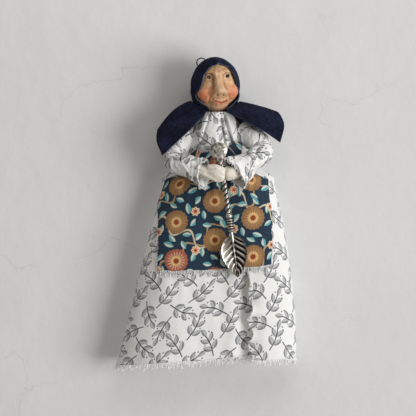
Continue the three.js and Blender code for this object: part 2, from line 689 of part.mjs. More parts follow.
function skirtHalf(z) {
  const hips = lerp(SKIRT_HALF_HEM, SKIRT_HALF_HIP, clamp(z / SKIRT_HIP_Z, 0, 1) ** 1.35);
  return lerp(hips, SKIRT_HALF_TOP, smoothstep(z, SKIRT_HIP_Z + 3, SKIRT_HIP_Z + 19));
}
function skirtMiddle(z) {
  const climb = clamp(z / (0.8 * SKIRT_HIP_Z), 0, 1);
  return lerp(SKIRT_HEM_SHIFT, BODY_X + 1.5, Math.sqrt(climb));
}
const skirtFront = (z) => lerp(SKIRT_FRONT_HEM, SKIRT_FRONT_TOP, clamp(z / SKIRT_TOP, 0, 1) ** 3);

// A point of the skirt's cloth at the angle round its front (PI on the left, 0 on the right).
function skirtPoint(angle, z, out) {
  const half = skirtHalf(z) + 0.5 * out;
  const c = Math.cos(angle);
  const s = Math.max(Math.sin(angle), 0);
  const x = skirtMiddle(z) + half * Math.sign(c) * Math.abs(c) ** (2 / BELL);
  const hang = 1 - clamp(z / SKIRT_TOP, 0, 1);
  const fold = (0.45 + 2 * hang) * Math.sin(FOLDS * angle + 1.2) * s;
  return V(x, SIDE_SEAM_Y - (SIDE_SEAM_Y - skirtFront(z) + out) * s ** (2 / BELL) - fold, z);
}

// The angle at which the skirt passes a given X.
function angleAt(x, z) {
  const q = clamp((x - skirtMiddle(z)) / skirtHalf(z), -1, 1);
  return Math.acos(Math.sign(q) * Math.abs(q) ** (BELL / 2));
}

const overlapEdge = (z) => Math.min(OVERLAP_EDGE, skirtMiddle(z) + 0.68 * skirtHalf(z));

function makeSkirtFront() {
  const point = (u, v) => {
    const top = lerp(0, SKIRT_TOP, v);
    const angle = lerp(Math.PI, angleAt(overlapEdge(top) + OVERLAP_TUCK * 0.6, top), u);
    const hem = FRONT_HEM_RISE * smoothstep(u, 0.2, 1) ** 1.5 + 5 * (1 - smoothstep(u, 0, 0.2));
    return skirtPoint(angle, lerp(hem, SKIRT_TOP, v), 0);
  };
  return sheet(point, 24, 12, COTTON);
}

function makeSkirtOverlap() {
  const out = COTTON + 2 * GAP;
  const point = (u, v) => {
    const z = lerp(lerp(4.6, 6.6, u), SKIRT_TOP, v);
    const angle = lerp(angleAt(overlapEdge(z), z), 0, u);
    return skirtPoint(angle, z, out);
  };
  return sheet(point, 12, 12, COTTON);
}

// The back hangs flat on the wall.
function makeSkirtBack() {
  const side = (sign) => [0, 0.25, 0.5, 0.75, 0.9, 1].map((t) => {
    const z = lerp(3, SKIRT_TOP, t);
    return new THREE.Vector2(skirtMiddle(z) + sign * (skirtHalf(z) - 0.4), z);
  });
  const outline = new THREE.Shape();
  const right = side(1);
  const left = side(-1).reverse();
  outline.moveTo(right[0].x, right[0].y);
  outline.splineThru(right.slice(1));
  outline.lineTo(left[0].x, left[0].y);
  outline.splineThru(left.slice(1));
  return new THREE.ExtrudeGeometry(outline, { depth: COTTON, bevelEnabled: false, curveSegments: 3 })
    .rotateX(Math.PI / 2).translate(0, WALL_Y, 0);
}

// The apron is a straight cut, drawn in at the waist.
function makeApron() {
  const waist = (z) => smoothstep(z, SKIRT_HIP_Z + 2, SKIRT_HIP_Z + 14);
  const point = (u, v) => {
    const z = lerp(APRON_HEM + APRON_HEM_RISE * u ** 2, APRON_TOP, v);
    const level = Math.min(z, SKIRT_TOP);
    const hips = APRON_HIP_SPREAD * skirtHalf(level);
    const reach = Math.min(APRON_HALF_WIDTH, lerp(hips, APRON_HALF_TOP, waist(z)));
    const middle = lerp(APRON_MIDDLE, skirtMiddle(level), smoothstep(z, SKIRT_HIP_Z - 10, SKIRT_HIP_Z + 15));
    const x = middle + lerp(-reach, reach, u);
    const over = COTTON + 3.2 * GAP;
    const p = skirtPoint(angleAt(x, level), level, over + over * smoothstep(x, 6, overlapEdge(level) - 4));
    p.z = z;
    return p;
  };
  return sheet(point, 22, 10, COTTON);
}

// Cape: one sheet of felt from the left front edge, round the shoulders and back, to the right one

// A place on the cape in hundredths of its spread, its height from the neck's top.
const drape = (x, y, rise) => V(x, y, rise).multiplyScalar(CAPE_SPREAD / 100).add(V(0, 0, NECK_TOP));

// Each line runs from the neck, by a place half way, to the hem.
const CAPE_LINES = [
  [drape(-3, -16.5, -0.8), drape(-18.5, -19.5, -15), drape(-39.6, -18.5, -34.4)], // left front edge
  [drape(-10, -14, 4.8), drape(-26, -14, -5.6), drape(-44.2, -14, -21.5)],
  [drape(-16.8, -5.5, 8.4), drape(-30.6, -5, 1.4), drape(-42.4, -6, -12.8)], // left shoulder
  [drape(-14, 9, 5), drape(-28, 11.5, -4), drape(-36, 12, -17)],
  [drape(2.5, 15.4, 4), drape(3, 15.4, -12), drape(3, 15.4, -32)], // middle of the back
  [drape(19, 9, 5), drape(34, 11.5, 0), drape(45, 12, -9)],
  [drape(22.4, -5.5, 8), drape(37.5, -5, 5.2), drape(51.6, -6, 0.2)], // right shoulder
  [drape(15.5, -13.5, 4.6), drape(37.5, -14, -0.4), drape(57.4, -13, -11)],
  [drape(9.4, -16.5, -0.8), drape(29, -19.5, -8.4), drape(54.2, -18.5, -24.4)], // right front edge
];

// A quadratic through three places at 0, 0.5 and 1.
function through([a, b, c], t) {
  return a.clone().multiplyScalar(2 * (t - 0.5) * (t - 1)).addScaledVector(b, -4 * t * (t - 1))
    .addScaledVector(c, 2 * t * (t - 0.5));
}

function hoodRadiusAt(z) {
  const drop = clamp((HEAD_Z - z) / (HEAD_Z - HOOD_BOTTOM), 0, 1);
  return lerp(HOOD_RADIUS, HOOD_BOTTOM_RADIUS, drop * drop);
}

function makeCape() {
  const point = (u, v) => {
    const p = new THREE.CatmullRomCurve3(CAPE_LINES.map((line) => through(line, v))).getPoint(u);
    p.y = Math.min(p.y, WALL_Y - FELT / 2 - 0.02);
    // the neck stands clear of the turning hood
    const out = V(p.x - HEAD_AXIS.x, p.y - HEAD_AXIS.y, 0);
    const short = hoodRadiusAt(p.z) + 2 * GAP + FELT / 2 - out.length();
    if (p.z > HOOD_BOTTOM - 2 * FELT && short > 0) p.addScaledVector(out.normalize(), short);
    return p;
  };
  return sheet(point, 36, 7, FELT);
}

// Assembly

const headFrame = new THREE.Group();
headFrame.position.set(HEAD_AXIS.x, HEAD_AXIS.y, HEAD_Z);
headFrame.rotation.z = HEAD_YAW;
doll.add(headFrame);
addPiece("head", makeHead(), clay, headFrame);
addPiece("eye_left", eyeBall(-1, 0), glass, headFrame);
addPiece("eye_right", eyeBall(1, 0), glass, headFrame);
addPiece("hood", makeHood(), felt, headFrame);

addPiece("hanging_loop", makeLoop(), cord);
addPiece("neck_dowel", dowelRod(0, DOWEL_TOP).translate(HEAD_AXIS.x, HEAD_AXIS.y, 0), beech);
addPiece("stuffed_body", makeBody(), muslin);
addPiece("bodice", makeBodice(), leafCotton);
addPiece("neck_thread", makeNeckThread(), cord);
for (const [side, name] of [[-1, "left"], [1, "right"]]) {
  addPiece(`upper_arm_${name}`, makeUpperArm(side), muslin);
  addPiece(`upper_sleeve_${name}`, makeUpperSleeve(side), leafCotton);
  addPiece(`lower_sleeve_${name}`, makeLowerSleeve(side), leafCotton);
  addPiece(`forearm_${name}`, makeForearm(side), muslin);
}
addPiece("cape", makeCape(), felt);
addPiece("spoon", makeSpoon(), silver);
addPiece("skirt_front", makeSkirtFront(), leafCotton);
addPiece("skirt_overlap", makeSkirtOverlap(), leafCotton);
addPiece("skirt_back", makeSkirtBack(), leafCotton);
addPiece("apron", makeApron(), apronCotton);

// The part's origin is where a nail bears in the hanging loop.
doll.position.copy(nailRest).negate();

export default doll;
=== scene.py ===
"""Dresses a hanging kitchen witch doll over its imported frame, as it hangs on a pale plaster wall.

Shapes are worked out in the doll's own millimetres, measured up from the hem of the skirt with the
viewer on the -Y side, and row() moves them into the frame.
"""
import functools
import json
import math

import bmesh
import bpy
import numpy as np
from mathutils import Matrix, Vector


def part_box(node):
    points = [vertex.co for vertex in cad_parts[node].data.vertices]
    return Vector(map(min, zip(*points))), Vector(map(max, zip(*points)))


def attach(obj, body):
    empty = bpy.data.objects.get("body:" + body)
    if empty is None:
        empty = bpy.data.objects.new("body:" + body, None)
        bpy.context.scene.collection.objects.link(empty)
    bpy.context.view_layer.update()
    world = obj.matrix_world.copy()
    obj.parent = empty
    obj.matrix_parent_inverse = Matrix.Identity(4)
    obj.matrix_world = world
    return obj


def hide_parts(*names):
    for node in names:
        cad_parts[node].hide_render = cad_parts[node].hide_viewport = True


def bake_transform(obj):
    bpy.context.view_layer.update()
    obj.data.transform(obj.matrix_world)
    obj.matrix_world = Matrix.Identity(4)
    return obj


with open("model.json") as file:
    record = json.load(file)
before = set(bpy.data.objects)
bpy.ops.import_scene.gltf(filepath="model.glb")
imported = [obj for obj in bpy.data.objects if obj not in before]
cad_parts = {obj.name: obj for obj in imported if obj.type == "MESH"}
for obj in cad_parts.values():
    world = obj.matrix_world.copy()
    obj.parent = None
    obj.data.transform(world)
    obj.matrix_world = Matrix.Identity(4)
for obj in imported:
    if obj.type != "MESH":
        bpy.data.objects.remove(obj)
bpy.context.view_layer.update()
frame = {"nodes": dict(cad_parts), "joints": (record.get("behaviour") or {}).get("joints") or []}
JOINTS = {joint["name"]: joint for joint in frame["joints"]}

# Places and sizes on the doll, in millimetres. The cloths are thinner than their solids.

HEAD = np.array([2.5, -4.2, 223.0])  # middle of the head, on the axis it turns about
HEAD_RADIUS = 17.2
HEAD_HALF_HEIGHT = 21.0
HEAD_YAW = math.radians(11)
HEAD_ROLL = math.radians(4)  # the face tips a little to the left
NOSE_X = -0.4  # the nose and mouth are a little off the face's middle
MOUTH_X = 0.8
EYE_RADIUS = 1.7
EYE_SPREAD = 8.0
EYE_HEIGHT = 6.9
EYE_SUNK = 0.35  # from the bare ball of the head to the bead's middle
FELT = 1.0
COTTON = 0.55
SOLID_COTTON = 0.9  # what the solids allow for it
GAP = 0.35  # between one cloth and the next
BACK_Y = 16.0  # plane of the flat back
HANDS = np.array([9.6, -28.5, 152.2])  # where the two hands meet round the spoon
ELBOW = {"left": np.array([-27.5, -12.9, 165.5]), "right": np.array([38.0, -11.0, 172.0])}
CUFF = {"left": np.array([-6.5, -26.5, 153.0]), "right": np.array([23.0, -26.0, 155.0])}
NECK_TOP = 202.0
NECK_RADIUS = 9.0  # of the gathered cloth, where the thread ties it
BODY_X = 3.0
BODY_Y = 2.0
BODY_FOOT = 120.0
SKIRT_TOP = 165.0
HEM_X = -7.2  # the skirt hangs to the left
HEM_HALF = 70.6
HEM_FRONT = -16.0
HIP_Z = 145.0
HIP_HALF = 44.6
WAIST_HALF = 28.0
WAIST_FRONT = -10.6
APRON_HEM = 75.5
APRON_TOP = 170.5
APRON_HALF = 44.2  # half the width of its straight cut
APRON_HALF_TOP = 18.0
APRON_MIDDLE = 1.8
OVERLAP_EDGE = 29.5
SPOON_LEAN = math.radians(8.2)
SPOON_PITCH = math.radians(2.6)
STEM_RADIUS = 2.1

WALL_GAP = 8.0  # the doll hangs this far off the wall, by the width of its shadow
PHOTO_PIXELS = 416  # the photograph is square
PIXEL = 0.8  # what one pixel spans of the doll
LENS = 300.0
SENSOR = 36.0
PHOTO_MIDDLE = np.array([-3.2, 0.0, 125.6])  # what the middle pixel shows
SIDES = {"left": -1, "right": 1}

ORIGIN = np.array(JOINTS["head_turn"]["pos_m"]) - HEAD / 1000


def row(points):
    """Doll millimetres to the frame's metres."""
    return np.asarray(points, float) / 1000 + ORIGIN


# Shapes


def lerp(a, b, t):
    return a + (b - a) * t


def ease(x, low, high):
    """0 below low, 1 above high, smooth between."""
    t = np.clip((np.asarray(x, float) - low) / (high - low), 0, 1)
    return t * t * (3 - 2 * t)


def bump(x, z, cx, cz, sx, sz, power=2.0):
    """A rounded rise of height 1 at (cx, cz)."""
    return np.exp(-np.abs((x - cx) / sx) ** power - np.abs((z - cz) / sz) ** power)


def peak(x, width):
    """A rounded ridge of height 1 where x is 0."""
    return np.exp(-((x / width) ** 2))


PATCHES = 97  # after so many the unevenness repeats


def wander(x, y, size, seed):
    """Smooth unevenness from -1 to 1, in patches of the given size."""
    table = np.random.default_rng(seed).uniform(-1, 1, (PATCHES, PATCHES))
    x, y = np.broadcast_arrays(np.asarray(x, float) / size + 40, np.asarray(y, float) / size + 40)
    ix, iy = np.floor(x).astype(int), np.floor(y).astype(int)
    fx, fy = x - ix, y - iy
    fx, fy = fx * fx * (3 - 2 * fx), fy * fy * (3 - 2 * fy)
    left, right, low, high = ix % PATCHES, (ix + 1) % PATCHES, iy % PATCHES, (iy + 1) % PATCHES
    below, above = (lerp(table[left, at], table[right, at], fx) for at in (low, high))
    return lerp(below, above, fy)


def through(knots, values, at):
    """A smooth curve through the values at the knots, level wherever it turns back."""
    knots, values = np.asarray(knots, float), np.asarray(values, float)
    flat = values.reshape(len(knots), -1)
    steps = np.diff(flat, axis=0) / np.diff(knots)[:, None]
    slopes = np.vstack([steps[:1], (steps[1:] + steps[:-1]) / 2, steps[-1:]])
    slopes[1:-1][steps[1:] * steps[:-1] <= 0] = 0
    at = np.clip(np.asarray(at, float), knots[0], knots[-1])
    i = np.clip(np.searchsorted(knots, at, side="right") - 1, 0, len(knots) - 2)
    h = (knots[i + 1] - knots[i])[..., None]
    t = ((at - knots[i])[..., None]) / h
    found = ((2 * t**3 - 3 * t**2 + 1) * flat[i] + (t**3 - 2 * t**2 + t) * h * slopes[i]
             + (3 * t**2 - 2 * t**3) * flat[i + 1] + (t**3 - t**2) * h * slopes[i + 1])
    return found[..., 0] if values.ndim == 1 else found


def unit_grid(across, along):
    """Two grids of u and v from 0 to 1: rows run along v, columns across u."""
    return np.meshgrid(np.linspace(0, 1, across + 1), np.linspace(0, 1, along + 1))


def tube(centres, across, upright, up, sides, ripple=0.0):
    """Rings round a line of centres: half sizes across and upright, and a ripple added to both."""
    tangents = np.gradient(centres, axis=0)
    tangents /= np.linalg.norm(tangents, axis=1)[:, None]
    width = np.cross(tangents, up)
    width /= np.linalg.norm(width, axis=1)[:, None]
    height = np.cross(width, tangents)
    angle = np.linspace(0, 2 * np.pi, sides + 1)
    a = np.asarray(across)[:, None] * np.cos(angle) * (1 + ripple)
    b = np.asarray(upright)[:, None] * np.sin(angle) * (1 + ripple)
    return centres[:, None] + a[..., None] * width[:, None] + b[..., None] * height[:, None]


def closed(points, first, last):
    """Draws the two ends of a tube together, each at its own place."""
    sides = (1, points.shape[1], 1)
    return np.concatenate([np.tile(first, sides), points, np.tile(last, sides)])


def new_piece(name, mesh, *materials):
    piece = bpy.data.objects.new(name, mesh)
    bpy.context.scene.collection.objects.link(piece)
    for material in materials:
        mesh.materials.append(material)
    return piece


def grid_piece(name, points, uv, *materials, masks=None, flip=False, seal=False):
    """A piece over a grid of points in doll millimetres. uv is the flat cut in millimetres, and seal
    merges the points that meet, as at a seam or a pole."""
    rows, columns = points.shape[:2]
    ids = np.arange(rows * columns).reshape(rows, columns)
    corners = [ids[:-1, :-1], ids[:-1, 1:], ids[1:, 1:], ids[1:, :-1]]
    faces = np.stack(corners[::-1] if flip else corners, -1).reshape(-1, 4)
    mesh = bpy.data.meshes.new(name)
    mesh.from_pydata(row(points).reshape(-1, 3).tolist(), [], faces.tolist())
    flat = np.asarray(uv, float).reshape(-1, 2)[faces.ravel()]
    mesh.uv_layers.new(name="cut").data.foreach_set("uv", flat.ravel())
    for key, values in (masks or {}).items():
        layer = mesh.attributes.new(key, "FLOAT", "POINT")
        layer.data.foreach_set("value", np.asarray(values, float).ravel())
    if seal:
        welded = bmesh.new()
        welded.from_mesh(mesh)
        bmesh.ops.remove_doubles(welded, verts=welded.verts, dist=1e-6)
        welded.to_mesh(mesh)
        welded.free()
    mesh.shade_smooth()
    return new_piece(name, mesh, *materials)


def settle(piece):
    """Makes the piece's modifiers part of its mesh."""
    evaluated = piece.evaluated_get(bpy.context.evaluated_depsgraph_get())
    mesh = bpy.data.meshes.new_from_object(evaluated)
    piece.modifiers.clear()
    piece.data = mesh
    mesh.shade_smooth()
    return piece


def cloth(name, points, uv, thickness, *materials, flip=False, seal=False):
    """A sheet of cloth with its thickness, its cut edge in the second material where there is one."""
    piece = grid_piece(name, points, uv, *materials, flip=flip, seal=seal)
    wall = piece.modifiers.new("thickness", "SOLIDIFY")
    wall.thickness = thickness / 1000
    wall.offset = 0
    wall.material_offset_rim = len(materials) - 1
    return settle(piece)


def joined(name, *pieces):
    """One piece out of several that move together."""
    whole = bmesh.new()
    for piece in pieces:
        whole.from_mesh(piece.data)
    mesh = bpy.data.meshes.new(name)
    whole.to_mesh(mesh)
    whole.free()
    mesh.shade_smooth()
    materials = list(pieces[0].data.materials)
    for piece in pieces:
        bpy.data.objects.remove(piece)
    return new_piece(name, mesh, *materials)


def declare(piece, body, slot, *nodes):
    """The body that the piece rides, its material slot, which is not used, and the nodes that it stands for.
    """
    if nodes:
        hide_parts(*nodes)
    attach(piece, body)


# Materials


def linear(code):
    """An sRGB hex colour as linear RGBA."""
    parts = [int(code[i : i + 2], 16) / 255 for i in (1, 3, 5)]
    return (*[c / 12.92 if c <= 0.04045 else ((c + 0.055) / 1.055) ** 2.4 for c in parts], 1.0)


def add_node(tree, kind, *values, **named):
    """Adds a node. Its inputs come in order or by their capital names, as values, hex colours or links,
    and its settings by their small names."""
    made = tree.nodes.new(kind if "Node" in kind else "ShaderNode" + kind)
    for key in filter(str.islower, named):
        setattr(made, key, named[key])
    filled = list(zip(made.inputs, values))
    filled += [(made.inputs[key.replace("_", " ")], named[key]) for key in named if not key.islower()]
    for socket, value in filled:
        if isinstance(value, bpy.types.Node):
            value = value.outputs[0]
        if isinstance(value, bpy.types.NodeSocket):
            tree.links.new(value, socket)
        elif value is not None:
            socket.default_value = linear(value) if isinstance(value, str) else value
    return made


def new_material(name, **sockets):
    """A material with one Principled shader, constant values on the shader's own sockets, and the
    function that adds nodes to it."""
    material = bpy.data.materials.new(name)
    material.use_nodes = True
    material.node_tree.nodes.clear()
    add = functools.partial(add_node, material.node_tree)
    shader = add("BsdfPrincipled", **sockets)
    add("OutputMaterial", shader)
    return material, add, shader


def feed(shader, **sockets):
    """Links nodes to sockets of the shader."""
    for key, node in sockets.items():
        shader.id_data.links.new(node.outputs[0], shader.inputs[key.replace("_", " ")])


WEAVE = 0.9  # pitch of the printed cottons: the real threads are too fine to show, so it is drawn coarser
MUSLIN_WEAVE = 0.8
THREAD_DEPTH = 0.12


def weave(add, shader, uv, pitch, colour, low):
    """Gives the shader a plain weave: threads over and under, at a pitch in millimetres, in relief and
    with the low ones dimmed to the share low."""
    turns = add("VectorMath", uv, (2 * math.pi / pitch,) * 3, operation="MULTIPLY")
    x, y, _ = add("SeparateXYZ", turns).outputs
    warp = add("Math", x, operation="SINE")
    weft = add("Math", y, operation="SINE")
    over = add("Math", warp, weft, operation="MULTIPLY")
    uneven = add("TexNoise", Vector=uv, Scale=0.45, Detail=5.0)
    height = add("Math", over, 0.35, uneven, operation="MULTIPLY_ADD")
    relief = add("Bump", Strength=0.6, Distance=THREAD_DEPTH / 1000, Height=height)
    dimmed = add("MapRange", over, -1.0, 1.0, low, 1.0)
    colour = add("MixRGB", 1.0, colour, dimmed, blend_type="MULTIPLY")
    feed(shader, Base_Color=colour, Normal=relief)


def printed_cells(add, uv, cell, offset, half_drop=False):
    """The square cells of a repeat: the place in its cell, from the middle, and the cell's own chance."""
    moved = add("VectorMath", uv, (*offset, 0.0), operation="ADD")
    cells = add("VectorMath", moved, (1 / cell,) * 3, operation="MULTIPLY")
    if half_drop:
        x, y, _ = add("SeparateXYZ", cells).outputs
        column = add("Math", x, operation="FLOOR")
        odd = add("Math", column, 2.0, operation="FLOORED_MODULO")
        dropped = add("Math", odd, 0.5, y, operation="MULTIPLY_ADD")
        cells = add("CombineXYZ", x, dropped)
    corner = add("VectorMath", cells, operation="FLOOR")
    chance = add("TexWhiteNoise", corner, noise_dimensions="2D")
    inside = add("VectorMath", cells, operation="FRACTION")
    middle = add("VectorMath", inside, (0.5, 0.5, 0.0), operation="SUBTRACT")
    return add("VectorMath", middle, (cell,) * 3, operation="MULTIPLY"), chance


UNPRINTED = 1000.0  # further from any motif than the cloth goes


def printed_leaves(add, place, leaves):
    """Pointed leaves, as depth inside their outline: the whole leaves, and the half of each on one side.
    A leaf is its place, direction, half length, half width, side and how far the half passes the rib."""
    whole, half = -UNPRINTED, -UNPRINTED
    for across, up, direction, length, width, side, past in leaves:
        leaf = add("Mapping", place, (across, up, 0), (0, 0, direction), (length, width, 1),
                   vector_type="TEXTURE")
        x, y, _ = add("SeparateXYZ", leaf).outputs
        squared = add("Math", x, x, operation="MULTIPLY")
        off = add("Math", y, operation="ABSOLUTE")
        spread = add("Math", squared, off, operation="ADD")
        depth = add("Math", 1.0, spread, operation="SUBTRACT")
        beside = add("Math", y, side, past, operation="MULTIPLY_ADD")
        shaded = add("Math", depth, beside, operation="MINIMUM")
        whole = add("Math", whole, depth, operation="MAXIMUM")
        half = add("Math", half, shaded, operation="MAXIMUM")
    return whole, half


SPRIG_CELL = 27.0  # each sprig has a square of this size, in millimetres
SPRIG_SWING = math.radians(56)  # how far one sprig may turn from another
SPRIG_LEAVES = [(x, y, math.radians(direction), length, width, math.copysign(1.0, y), 0.05)
                for x, y, direction, length, width in (
    (-3.9, 3.1, 40, 4.4, 2.1), (-3.5, -3.0, -42, 4.3, 2.0), (3.2, 2.8, 38, 4.1, 1.9),
    (3.8, -2.7, -38, 4.0, 1.9), (10.4, 0.6, 6, 3.9, 1.9))]
SPRIG_BERRIES = [(5.9, 4.9), (8.2, 3.6), (6.9, -4.4), (8.9, -3.0), (0.2, 4.0), (0.6, -3.8)]
SPRIG_STEM_MIDDLE = -2.0
SPRIG_STEM_HALF = 9.2


def sprig_print(add, uv, offset, lean):
    """A scatter of leaf sprigs, one to a cell, each turned its own way. Gives the ink of the stems, the
    leaves and the shaded half of each leaf."""
    place, chance = printed_cells(add, uv, SPRIG_CELL, offset)
    dice = add("SeparateColor", chance.outputs["Color"])
    about = add("Math", dice.outputs[0], 0.5, operation="GREATER_THAN")
    half_turn = add("Math", about, math.pi, lean, operation="MULTIPLY_ADD")
    angle = add("Math", dice.outputs[1], SPRIG_SWING, half_turn, operation="MULTIPLY_ADD")
    turned = add("VectorRotate", Vector=place, Angle=angle, rotation_type="Z_AXIS")
    leaves, shaded = printed_leaves(add, turned, SPRIG_LEAVES)
    spots = UNPRINTED
    for berry in SPRIG_BERRIES:
        reach = add("VectorMath", turned, (*berry, 0), operation="DISTANCE")
        spots = add("Math", spots, reach.outputs["Value"], operation="MINIMUM")
    x, y, _ = add("SeparateXYZ", turned).outputs
    bowed = add("Math", x, x, operation="MULTIPLY")
    bend = add("Math", bowed, -0.012, y, operation="MULTIPLY_ADD")
    off_stem = add("Math", bend, operation="ABSOLUTE")
    from_middle = add("Math", x, -SPRIG_STEM_MIDDLE, operation="ADD")
    reach = add("Math", from_middle, operation="ABSOLUTE")
    past_end = add("Math", reach, SPRIG_STEM_HALF, operation="SUBTRACT")
    off_end = add("Math", off_stem, past_end, operation="MAXIMUM")
    stem = add("MapRange", off_end, 0.58, 0.3)
    berries = add("MapRange", spots, 0.72, 0.42)
    return add("Math", stem, berries, operation="MAXIMUM"), leaves, shaded


def make_leaf_cotton():
    # Plain-woven cotton, screen printed: a chalky white with a faint weave and soft grey ink.
    material, add, shader = new_material("leaf_print_cotton", Roughness=0.92, Sheen_Weight=0.15,
                                         Sheen_Roughness=0.5, Specular_IOR_Level=0.25)
    uv = add("UVMap", uv_map="cut")
    blotch = add("TexNoise", Vector=uv, Scale=0.06, Detail=3.0)
    colour = add("MixRGB", blotch, "#eaebeb", "#dedfde")
    ink_break = add("TexNoise", Vector=uv, Scale=1.1, Detail=3.0)
    for shift, lean in ((0.0, 15), (SPRIG_CELL / 2, 105)):
        stem, leaves, shaded = sprig_print(add, uv, (shift, shift), math.radians(lean))
        fill = add("MapRange", leaves, 0.0, 0.12)
        core = add("MapRange", leaves, 0.28, 0.1)
        rim = add("Math", fill, core, operation="MULTIPLY")
        half = add("MapRange", shaded, 0.0, 0.2)
        worn = add("Math", half, ink_break, operation="MULTIPLY")
        for ink, tone in ((fill, "#ced0d2"), (rim, "#54575b"), (worn, "#3e4246")):
            colour = add("MixRGB", ink, colour, tone, blend_type="MULTIPLY")
        colour = add("MixRGB", stem, colour, "#3a3c40")
    weave(add, shader, uv, WEAVE, colour, 0.95)
    return material


BLOOM_CELL = 31.0
BLOOM_PLACE = (6.0, 2.0)
ROSETTE_PLACE = (BLOOM_PLACE[0] + BLOOM_CELL / 2, BLOOM_PLACE[1] + BLOOM_CELL / 4)
BLOOM_RADIUS = 9.6
ROSETTE_RADIUS = 3.6
LEAF_SLANT = 0.9  # a leaf's turn from the line out of the bloom's middle, in radians
APRON_LEAVES = [(away * math.cos(math.radians(angle)), away * math.sin(math.radians(angle)),
                 math.radians(angle) + LEAF_SLANT, length, width, 1.0, 0.0)
                for angle, away, length, width in (
    (12, 14.2, 4.6, 2.3), (66, 13.6, 3.8, 1.9), (118, 14.4, 4.6, 2.2), (171, 13.8, 3.9, 2.0),
    (222, 14.3, 4.5, 2.3), (275, 13.6, 3.8, 1.9), (322, 14.4, 4.4, 2.1))]
TENDRIL_WAVE = 24.0
TENDRIL_SPACING = 22.0


def print_bloom(add, place, colour, radius, petals, wave, tones):
    """Prints a round flower over the colour: spoked petals with a wavy edge, and rings inside them."""
    outer, inner, ring, heart = tones
    reach = add("VectorMath", place, operation="LENGTH")
    x, y, _ = add("SeparateXYZ", place).outputs
    bearing = add("Math", y, x, operation="ARCTAN2")
    spin = add("Math", bearing, float(petals), operation="MULTIPLY")
    scallop = add("Math", spin, operation="COSINE")
    edge = add("Math", scallop, wave * radius, reach.outputs["Value"], operation="MULTIPLY_ADD")
    spokes = add("MapRange", scallop, -0.9, 0.4)
    flower = add("MixRGB", spokes, inner, outer)
    for start, end, tone in ((0.62, 0.78, outer), (0.5, 0.4, ring), (0.26, 0.2, heart)):
        share = add("MapRange", edge, start * radius, end * radius)
        flower = add("MixRGB", share, flower, tone)
    disc = add("MapRange", edge, radius, radius - 0.5)
    return add("MixRGB", disc, colour, flower)


def make_apron_cotton():
    # Printed furnishing cotton: a deep navy ground with ochre blooms, sea-green leaves and cream stems
    # in a half-drop repeat.
    material, add, shader = new_material("floral_navy_cotton", Roughness=0.9, Sheen_Weight=0.1,
                                         Sheen_Roughness=0.5, Specular_IOR_Level=0.25)
    uv = add("UVMap", uv_map="cut")
    mottle = add("TexNoise", Vector=uv, Scale=0.9, Detail=4.0)
    colour = add("MixRGB", mottle, "#13212f", "#2c4459")
    # two families of winding stems
    for turn, wave, tone in ((28, 4.6, "#cfbfa4"), (-37, 5.2, "#ae9372")):
        lane = add("Mapping", uv, (4.0, 7.0, 0), (0, 0, math.radians(turn)), (1, 1, 1))
        x, y, _ = add("SeparateXYZ", lane).outputs
        swing = add("Math", x, 2 * math.pi / TENDRIL_WAVE, operation="MULTIPLY")
        sway = add("Math", swing, operation="SINE")
        shifted = add("Math", sway, wave, y, operation="MULTIPLY_ADD")
        near = add("Math", shifted, TENDRIL_SPACING, operation="PINGPONG")
        line = add("MapRange", near, 1.15, 0.6)
        colour = add("MixRGB", line, colour, tone)
    for offset in (BLOOM_PLACE, ROSETTE_PLACE):
        place, chance = printed_cells(add, uv, BLOOM_CELL, offset, half_drop=True)
        angle = add("Math", chance, 6.28, operation="MULTIPLY")
        turned = add("VectorRotate", Vector=place, Angle=angle, rotation_type="Z_AXIS")
        if offset == ROSETTE_PLACE:
            tones = "#e2d2b2", "#c96a4a", "#c96a4a", "#7d2f22"
            colour = print_bloom(add, turned, colour, ROSETTE_RADIUS, 7, 0.11, tones)
            continue
        leaves, halves = printed_leaves(add, turned, APRON_LEAVES)
        for depth, soft, tone in ((leaves, 0.1, "#64a5ab"), (halves, 0.12, "#cad2c8")):
            colour = add("MixRGB", add("MapRange", depth, 0.0, soft), colour, tone)
        # ochre or coral, by chance
        dice = add("SeparateColor", chance.outputs["Color"])
        coral = add("Math", dice.outputs[1], 0.62, operation="GREATER_THAN")
        outer = add("MixRGB", coral, "#94704b", "#a4604b")
        inner = add("MixRGB", coral, "#b38c60", "#d8ad92")
        tones = outer, inner, "#dcb37c", "#8f4527"
        colour = print_bloom(add, turned, colour, BLOOM_RADIUS, 18, 0.03, tones)
    weave(add, shader, uv, WEAVE, colour, 0.82)
    return material


def make_felt(name, ground, fibre):
    # Pressed wool felt: no weave, a dense matt mass of short fibres with paler hairs standing out.
    material, add, shader = new_material(name, Roughness=1.0, Sheen_Weight=0.12, Sheen_Roughness=0.6,
                                         Sheen_Tint="#5a628c", Specular_IOR_Level=0.1)
    place = add("TexCoord").outputs["Object"]
    mass = add("TexNoise", Vector=place, Scale=420.0, Detail=6.0)
    clumps = add("TexNoise", Vector=place, Scale=90.0, Detail=3.0)
    both = add("Math", mass, clumps, operation="MULTIPLY")
    colour = add("MixRGB", add("MapRange", both, 0.18, 0.42), ground, fibre)
    hairs = add("TexNoise", Vector=place, Scale=1500.0, Detail=2.0)
    colour = add("MixRGB", add("MapRange", hairs, 0.64, 0.8), colour, "#343a57")
    relief = add("Bump", Strength=0.8, Distance=0.0004, Height=mass)
    feed(shader, Base_Color=colour, Normal=relief)
    return material


